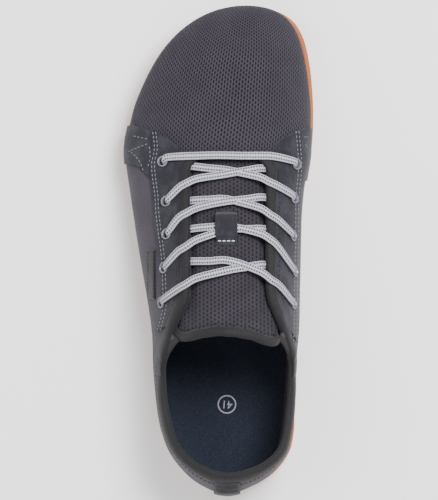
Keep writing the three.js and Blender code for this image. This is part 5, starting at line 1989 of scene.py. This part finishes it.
@dataclass
class HeelStrip:
    """Suede strip up the back of the heel, ribbed across near its top."""

    half: float = 7.2
    columns: int = 90
    rows: int = 26
    lift: float = 1.5
    rib_pitch: float = 2.2
    top_drop: float = 5.5
    middle_y: float = -86.0

    def field(self) -> Points:
        """Field of the strip from the sole's rim up to the collar."""
        centre = 0.06 * HEEL
        across = np.linspace(-1, 1, self.rows + 1)
        low = rim(np.array([-HALF_LENGTH]))[0] + 3 * CLEAR
        t = np.linspace(0, 1, self.columns + 1)[:, None]
        top = ANKLE.edge(np.linspace(-90 - 9, -90 + 9, self.rows + 1), self.top_drop)
        levels = low + (top[:, 2] - low)[None, :] * t
        x = centre + across[None, :] * self.half * (1 - 0.08 * t)
        origin = flat_array(x, self.middle_y, levels)
        points = LAST.reach(origin, origin + [0, -30.0, 0])
        rib = 0.28 * np.cos(levels / self.rib_pitch * 2 * math.pi) * np.clip((t - 0.55) / 0.08, 0, 1)
        return points + LAST.normal(points) * (self.lift + rib * (1 - np.abs(across) ** 6))[..., None]

    def make(self, suede: bpy.types.Material) -> bpy.types.Object:
        """Builds the strip."""
        piece = Piece("heel_strip_suede").grid(self.field()).facing(np.array([5.0, -80.0, 30.0]))
        return thicken(piece.finish(suede, slot="suede", replaces=["heel_strip"]), SUEDE, 0.4, 3)


@dataclass
class Outsole:
    """Gum cup sole: a wall with a stepped rim, a border, studs, and zigzag bars under toe and heel."""

    stations: int = 130
    border: float = 6.0
    base: float = 1.5
    lug_radius: float = 9.8 / math.sqrt(3)
    lug_pitch: float = 12.4
    lug_row: float = 9.5
    lug_turn: float = math.radians(3)
    lug_origin: tuple[float, float] = (0.294 * BALL, along(0.82))
    groove: float = 1.3
    toe_bars: int = 7
    toe_step: tuple[float, float] = (0.0167, -0.0287)
    toe_line: Rows = (
        (0.747, -0.6), (0.747, -0.451), (0.801, -0.306), (0.808, -0.097),
        (0.865, 0.046), (0.865, 0.238), (0.917, 0.384), (0.917, 0.6),
    )
    heel_bars: int = 6
    heel_step: tuple[float, float] = (-0.0178, 0.0306)
    heel_line: Rows = (
        (0.113, -0.6), (0.111, -0.187), (0.158, -0.065), (0.155, 0.116), (0.219, 0.275), (0.225, 0.6),
    )
    slim_medial: Rows = (
        (0, 0.9), (0.04, 0.6), (0.13, 0.4), (0.22, 1.9), (0.66, 1.9), (0.74, 0.9), (0.96, 1.1), (1, 1.5),
    )
    slim_lateral: Rows = (
        (0, 0.9), (0.05, 1.9), (0.66, 1.9), (0.71, 1.2), (0.77, 1.2), (0.82, 2.0), (1, 1.5),
    )
    lip: Rows = (
        (1.3, 0.0), (0.98, 0.12), (0.88, 0.5), (0.86, 1.7),
        (0.82, 2.7), (0.6, 3.0), (0.15, 3.15), (0, 3.4),
    )
    foot: Rows = (
        (0.1, 3.4), (0.45, 1.9), (1.0, 0.8), (1.8, 0.15), (2.4, 0.0),
        (5.6, 0.0), (6.0, 0.2), (6.1, 0.8), (6.3, 1.45), (7.5, 1.5),
    )
    lug_height: float = 2.1
    lug_edge: float = 0.4
    lug_inset: float = 0.42
    lug_dimple: float = 0.5
    lug_margin: float = 4.4
    bar_rise: Rows = ((0, 0), (0.02, 0.75), (0.1, 1), (0.5, 0.93), (0.9, 1), (0.98, 0.75), (1, 0))

    @cached_property
    def outline(self) -> tuple[Points, Points]:
        """The outline in the plan, medial side first from heel to toe, and its outward directions."""
        share = (1 - np.cos(np.linspace(0, math.pi, self.stations + 1))) / 2
        y = (share - 0.5) * LENGTH
        medial = np.stack([SOLE_MEDIAL(share), y], -1)
        lateral = np.stack([SOLE_LATERAL(share), y], -1)
        line = np.concatenate([medial, lateral[-2:0:-1]])
        run = np.roll(line, -1, axis=0) - np.roll(line, 1, axis=0)
        out = np.stack([run[:, 1], -run[:, 0]], -1)
        return line, unit(out)

    def ring(self, inset: float, level: Points | float) -> Points:
        """The outline drawn in by an inset, at a given height; slimmer where the upper hides it."""
        line, out = self.outline
        share = share_of(line[:, 1])
        tables = (self.slim_medial, self.slim_lateral)
        medial, lateral = (np.interp(share, *zip(*rows)) for rows in tables)
        slim = np.where(out[:, 0] > 0, medial, lateral)
        plan = line - out * (inset + slim)[:, None]
        return flat_array(plan[:, 0], plan[:, 1], level)

    def within(self, level: Points) -> Points:
        """Places just inside the last's surface at a height of each of the outline's places."""
        line = self.ring(0.0, level)
        centre = LAST.centre(line)
        centre[:, 2] = level
        placed = LAST.reach(centre, line)
        return placed - unit(placed - centre)

    def depth_in(self, points: Points) -> Points:
        """How far places of the plan lie inside the outline, negative outside."""
        line, _ = self.outline
        ends = np.roll(line, -1, axis=0)
        run, offset = ends - line, points[..., None, :] - line
        t = np.clip((offset * run).sum(-1) / (run * run).sum(-1), 0, 1)
        away = np.linalg.norm(offset - run * t[..., None], axis=-1).min(-1)
        x, y = points[..., 0], points[..., 1]
        between = (x > SOLE_LATERAL(share_of(y))) & (x < SOLE_MEDIAL(share_of(y)))
        inside = between & (np.abs(y) < HALF_LENGTH)
        return np.where(inside, away, -away)

    def cup(self) -> tuple[Points, Points]:
        """Rings from the inside floor's middle over the rim to the base's middle, and their finishes."""
        line, _ = self.outline
        low, top = ground(line[:, 1]), rim(line[:, 1])
        spine_y = np.clip(line[:, 1], -HALF_LENGTH + 34, HALF_LENGTH - 44)
        spine_x = (SOLE_LATERAL(share_of(spine_y)) + SOLE_MEDIAL(share_of(spine_y))) / 2
        floor = self.within(footbed(line[:, 1]) - 0.4)
        middle = flat_array(spine_x, spine_y, footbed(spine_y) - 0.4)
        rings = [middle, (middle + floor) / 2, floor, self.within(top - 0.9)]
        rings += [self.ring(inset, top - drop) for inset, drop in self.lip]
        for t in np.linspace(0, 1, 12)[1:]:
            rib = 0.09 * math.cos(t * 11 * math.pi)
            rings.append(self.ring(rib, (top - 3.4) * (1 - t) + (low + 5.0) * t))
        rings += [self.ring(inset, low + rise) for inset, rise in self.foot]
        under = flat_array(spine_x, spine_y, ground(spine_y) + self.base)
        rings += [(rings[-1] * 2 + under) / 3, (rings[-1] + 2 * under) / 3, under]
        # The border's inner step and the recessed floor take the second finish, whose darker gum is
        # painted shade.
        kinds = np.zeros(len(rings), int)
        kinds[-7:] = 1
        field_of = np.stack(rings, axis=1)
        closed = np.concatenate([field_of, field_of[:1]])
        return closed, np.broadcast_to(kinds, closed.shape[:2])

    def bar(self, piece: Piece, line: Rows, step: tuple[float, float], k: int) -> None:
        """Adds the parts of one zigzag bar that lie inside the border."""
        sign = math.copysign(1, step[0])
        at, across = np.array(line).T + k * np.array(step)[:, None]
        x = np.linspace(-58, 60, 237)
        near = np.interp(x, across * BALL, along(at)) + sign * self.groove
        width = abs(step[0]) * LENGTH - self.groove
        far = near + sign * width
        edges = [self.depth_in(np.stack([x, y], -1)) > self.border - 1 for y in (near, far)]
        kept = np.flatnonzero(edges[0] & edges[1])
        for run in np.split(kept, np.flatnonzero(np.diff(kept) > 1) + 1):
            if len(run) < 8:
                continue
            t, rise = np.array(self.bar_rise).T
            end = np.ones(len(run))
            end[0] = end[-1] = 0.0
            y = near[run, None] * (1 - t) + far[run, None] * t
            level = ground(y) + (self.base + 0.05) * (1 - rise * end[:, None])
            piece.grid(flat_array(x[run, None] + 0 * y, y, level))

    def lug(self) -> bmesh.types.BMesh:
        """One six-sided stud, point down, with a shallow round dimple."""
        shape = bmesh.new()
        size, height = self.lug_radius / 1000, self.lug_height / 1000
        bmesh.ops.create_cone(
            shape, cap_ends=True, segments=6, radius1=size, radius2=size, depth=height,
            matrix=Matrix.Translation((0, 0, height / 2)),
        )
        sole = min(shape.faces, key=lambda f: f.calc_center_median().z)
        bmesh.ops.bevel(
            shape, geom=list(sole.edges), offset=self.lug_edge / 1000, segments=1,
            profile=0.5, affect="EDGES", material=-1,
        )
        sole = min(shape.faces, key=lambda f: f.calc_center_median().z)
        bmesh.ops.inset_region(shape, faces=[sole], thickness=size * self.lug_inset)
        bmesh.ops.poke(shape, faces=[sole], offset=-self.lug_dimple / 1000)
        return shape

    def lug_places(self) -> list[Matrix]:
        """Places of the studs between the bars."""
        c, s = math.cos(self.lug_turn), math.sin(self.lug_turn)
        turn = Matrix.Rotation(self.lug_turn, 4, "Z")
        lines = [[(a * BALL, along(at)) for at, a in line] for line in (self.heel_line, self.toe_line)]
        places = []
        for row in range(-28, 6):
            for column in range(-9, 3):
                y = self.lug_origin[1] + row * self.lug_row
                x = self.lug_origin[0] + (column + (row & 1) / 2) * self.lug_pitch
                x, y = x * c - y * s, x * s + y * c
                limits = [np.interp(x, *np.array(line).T) for line in lines]
                if not limits[0] < y - self.lug_radius < y + self.lug_radius < limits[1]:
                    continue
                if self.depth_in(np.array([x, y])) > self.border + self.lug_margin:
                    place = Vector(PLACE.metres([x, y, float(ground(y))]))
                    places.append(Matrix.Translation(place) @ turn)
        return places

    def make(
        self, wall: bpy.types.Material, under: bpy.types.Material, tread: bpy.types.Material
    ) -> list[bpy.types.Object]:
        """Builds the cup and the tread.

        Args:
            wall: finish of the side wall.
            under: finish of the grooves, a darker gum that paints the shade of their recess.
            tread: finish of the parts that touch the ground.

        Returns:
            The cup and the tread.
        """
        field_of, kinds = self.cup()
        cup = Piece("sole_cup").grid(field_of, None, kinds).weld(2e-6).outward()
        studs = Piece("sole_studs").copies(self.lug(), self.lug_places()).outward()
        bars = Piece("sole_bars")
        for k in range(self.toe_bars):
            self.bar(bars, self.toe_line, self.toe_step, k)
        for k in range(self.heel_bars):
            self.bar(bars, self.heel_line, self.heel_step, k)
        bars.facing(np.array([0.0, 0.0, 400.0]))
        return [
            cup.finish(wall, under, slot="gum", replaces=["outsole"]),
            studs.finish(tread, slot="gum", replaces=["outsole"], edge=Edge.CRISP),
            bars.finish(tread, slot="gum", replaces=["outsole"]),
        ]


@dataclass(frozen=True)
class Lamp:
    """A soft square lamp that looks at the shoe: place in metres, side in metres, light in watts."""

    name: str
    place: Colour
    size: float
    power: float

    def make(self) -> None:
        """Hangs the lamp."""
        light = bpy.data.lights.new(self.name, "AREA")
        light.size, light.energy = self.size, self.power
        made = bpy.data.objects.new(self.name, light)
        made.location = self.place
        aim = Vector((0, 0, 0.03)) - Vector(self.place)
        made.rotation_euler = aim.to_track_quat("-Z", "Y").to_euler()
        bpy.context.scene.collection.objects.link(made)


@dataclass
class Studio:
    """Pale floor, soft lights and the camera straight above the shoe, long side along the shoe."""

    floor_size: float = 6.0
    lens: float = 400.0
    sensor: float = 36.0
    frame_length: float = 0.282
    frame_height: float = 0.03
    sky_light: float = 0.62
    lamps: tuple[Lamp, ...] = (
        Lamp("key", (0.42, 0.5, 1.3), 0.6, 42),
        Lamp("fill", (-0.9, 0.1, 0.9), 1.2, 9),
        Lamp("back", (0.1, -1.0, 0.8), 1.0, 8),
    )

    def floor(self) -> None:
        """Lays the floor just under the sole."""
        shape = bmesh.new()
        bmesh.ops.create_grid(shape, x_segments=2, y_segments=2, size=self.floor_size / 2)
        data = bpy.data.meshes.new("floor")
        shape.to_mesh(data)
        shape.free()
        data.materials.append(Backdrop().make("floor_paint"))
        made = bpy.data.objects.new("floor", data)
        bpy.context.scene.collection.objects.link(made)

    def camera(self) -> None:
        """Hangs the camera; its height makes the frame's long side fit at the shoe's middle height."""
        data = bpy.data.cameras.new("camera")
        data.lens, data.sensor_width, data.sensor_fit = self.lens, self.sensor, "AUTO"
        made = bpy.data.objects.new("camera", data)
        height = self.frame_height + self.frame_length * self.lens / self.sensor
        made.location = (0.0, 0.0, height)
        bpy.context.scene.collection.objects.link(made)
        bpy.context.scene.camera = made

    def make(self) -> None:
        """Sets up the whole studio."""
        self.floor()
        world = bpy.data.worlds.new("sky")
        world.use_nodes = True
        sky = world.node_tree.nodes["Background"]
        sky.inputs["Color"].default_value = (1, 1, 1, 1)
        sky.inputs["Strength"].default_value = self.sky_light
        bpy.context.scene.world = world
        for lamp in self.lamps:
            lamp.make()
        self.camera()


def sew(tongue: Tongue, keeper: Keeper, tag: SideTag) -> None:
    """Sews all seams: one mesh for each thread colour.

    Args:
        tongue: the tongue, for its dark seam.
        keeper: the lace keeper, for its bright stitches.
        tag: the side tag.
    """
    light, dark = Seam(), Seam(1.7, 0.9, 0.5, 0.4)
    rows = LATERAL_STAY.stitch_rows(light) + MEDIAL_STAY.stitch_rows(light)
    paint = Thread().make("light_thread")
    Piece("light_stitches").copies(light.stitch(), rows).finish(paint, slot="suede")
    rows = tongue.stitch_rows(dark) + Collar().seam_row(dark, 12.5, 0.15) + tag.stitch_rows()
    rows += [place for facing in FACINGS for place in facing.stitch_rows(dark)]
    paint = Thread(colour=srgb(50, 48, 56)).make("dark_thread")
    Piece("dark_stitches").copies(dark.stitch(), rows).finish(paint, slot="lining")
    bright = Seam(1.9, 0.8, 0.8, 0.6)
    paint = Thread(colour=srgb(205, 205, 210)).make("bright_thread")
    Piece("keeper_stitches").copies(bright.stitch(), keeper.stitch_rows()).finish(paint, slot="suede")


def main() -> None:
    """Builds and dresses every piece of the shoe."""
    logging.basicConfig(level=logging.INFO, format="%(message)s")
    Studio().make()
    knit = MeshKnit().make("mesh_knit")
    panel = PanelCloth().make("panel_cloth")
    suede = Suede().make("suede")
    Upper().make(knit, panel)
    EYELETS.make(EyeletMetal().make("eyelet_metal"))
    for stay in (LATERAL_STAY, MEDIAL_STAY):
        stay.make(suede)
    lining = Lining().make("lining")
    Collar().make(lining)
    for facing in FACINGS:
        facing.make(lining)
    tongue = Tongue()
    tongue.sheet(RibbedKnit().make("tongue_knit"))
    tongue.edge(lining)
    keeper = Keeper()
    keeper.make(suede)
    Laces().make(Braid().make("braid"))
    Insole().make(Footbed().make("footbed_cloth"), Thread(colour=srgb(168, 168, 176)).make("size_print"))
    tag = SideTag()
    tag.make(Tag().make("tag_weave"))
    HeelStrip().make(suede)
    sew(tongue, keeper, tag)
    wall = Gum(colour=srgb(184, 124, 74), shade=srgb(164, 104, 58), depth=0.04).make("gum_wall")
    # A darker copy of the gum for the recessed floor: painted shade in the grooves.
    groove = Gum(colour=srgb(122, 68, 44), shade=srgb(98, 52, 34)).make("gum_groove_painted_shade")
    Outsole().make(wall, groove, Gum().make("gum_tread"))


if __name__ == "__main__":
    main()
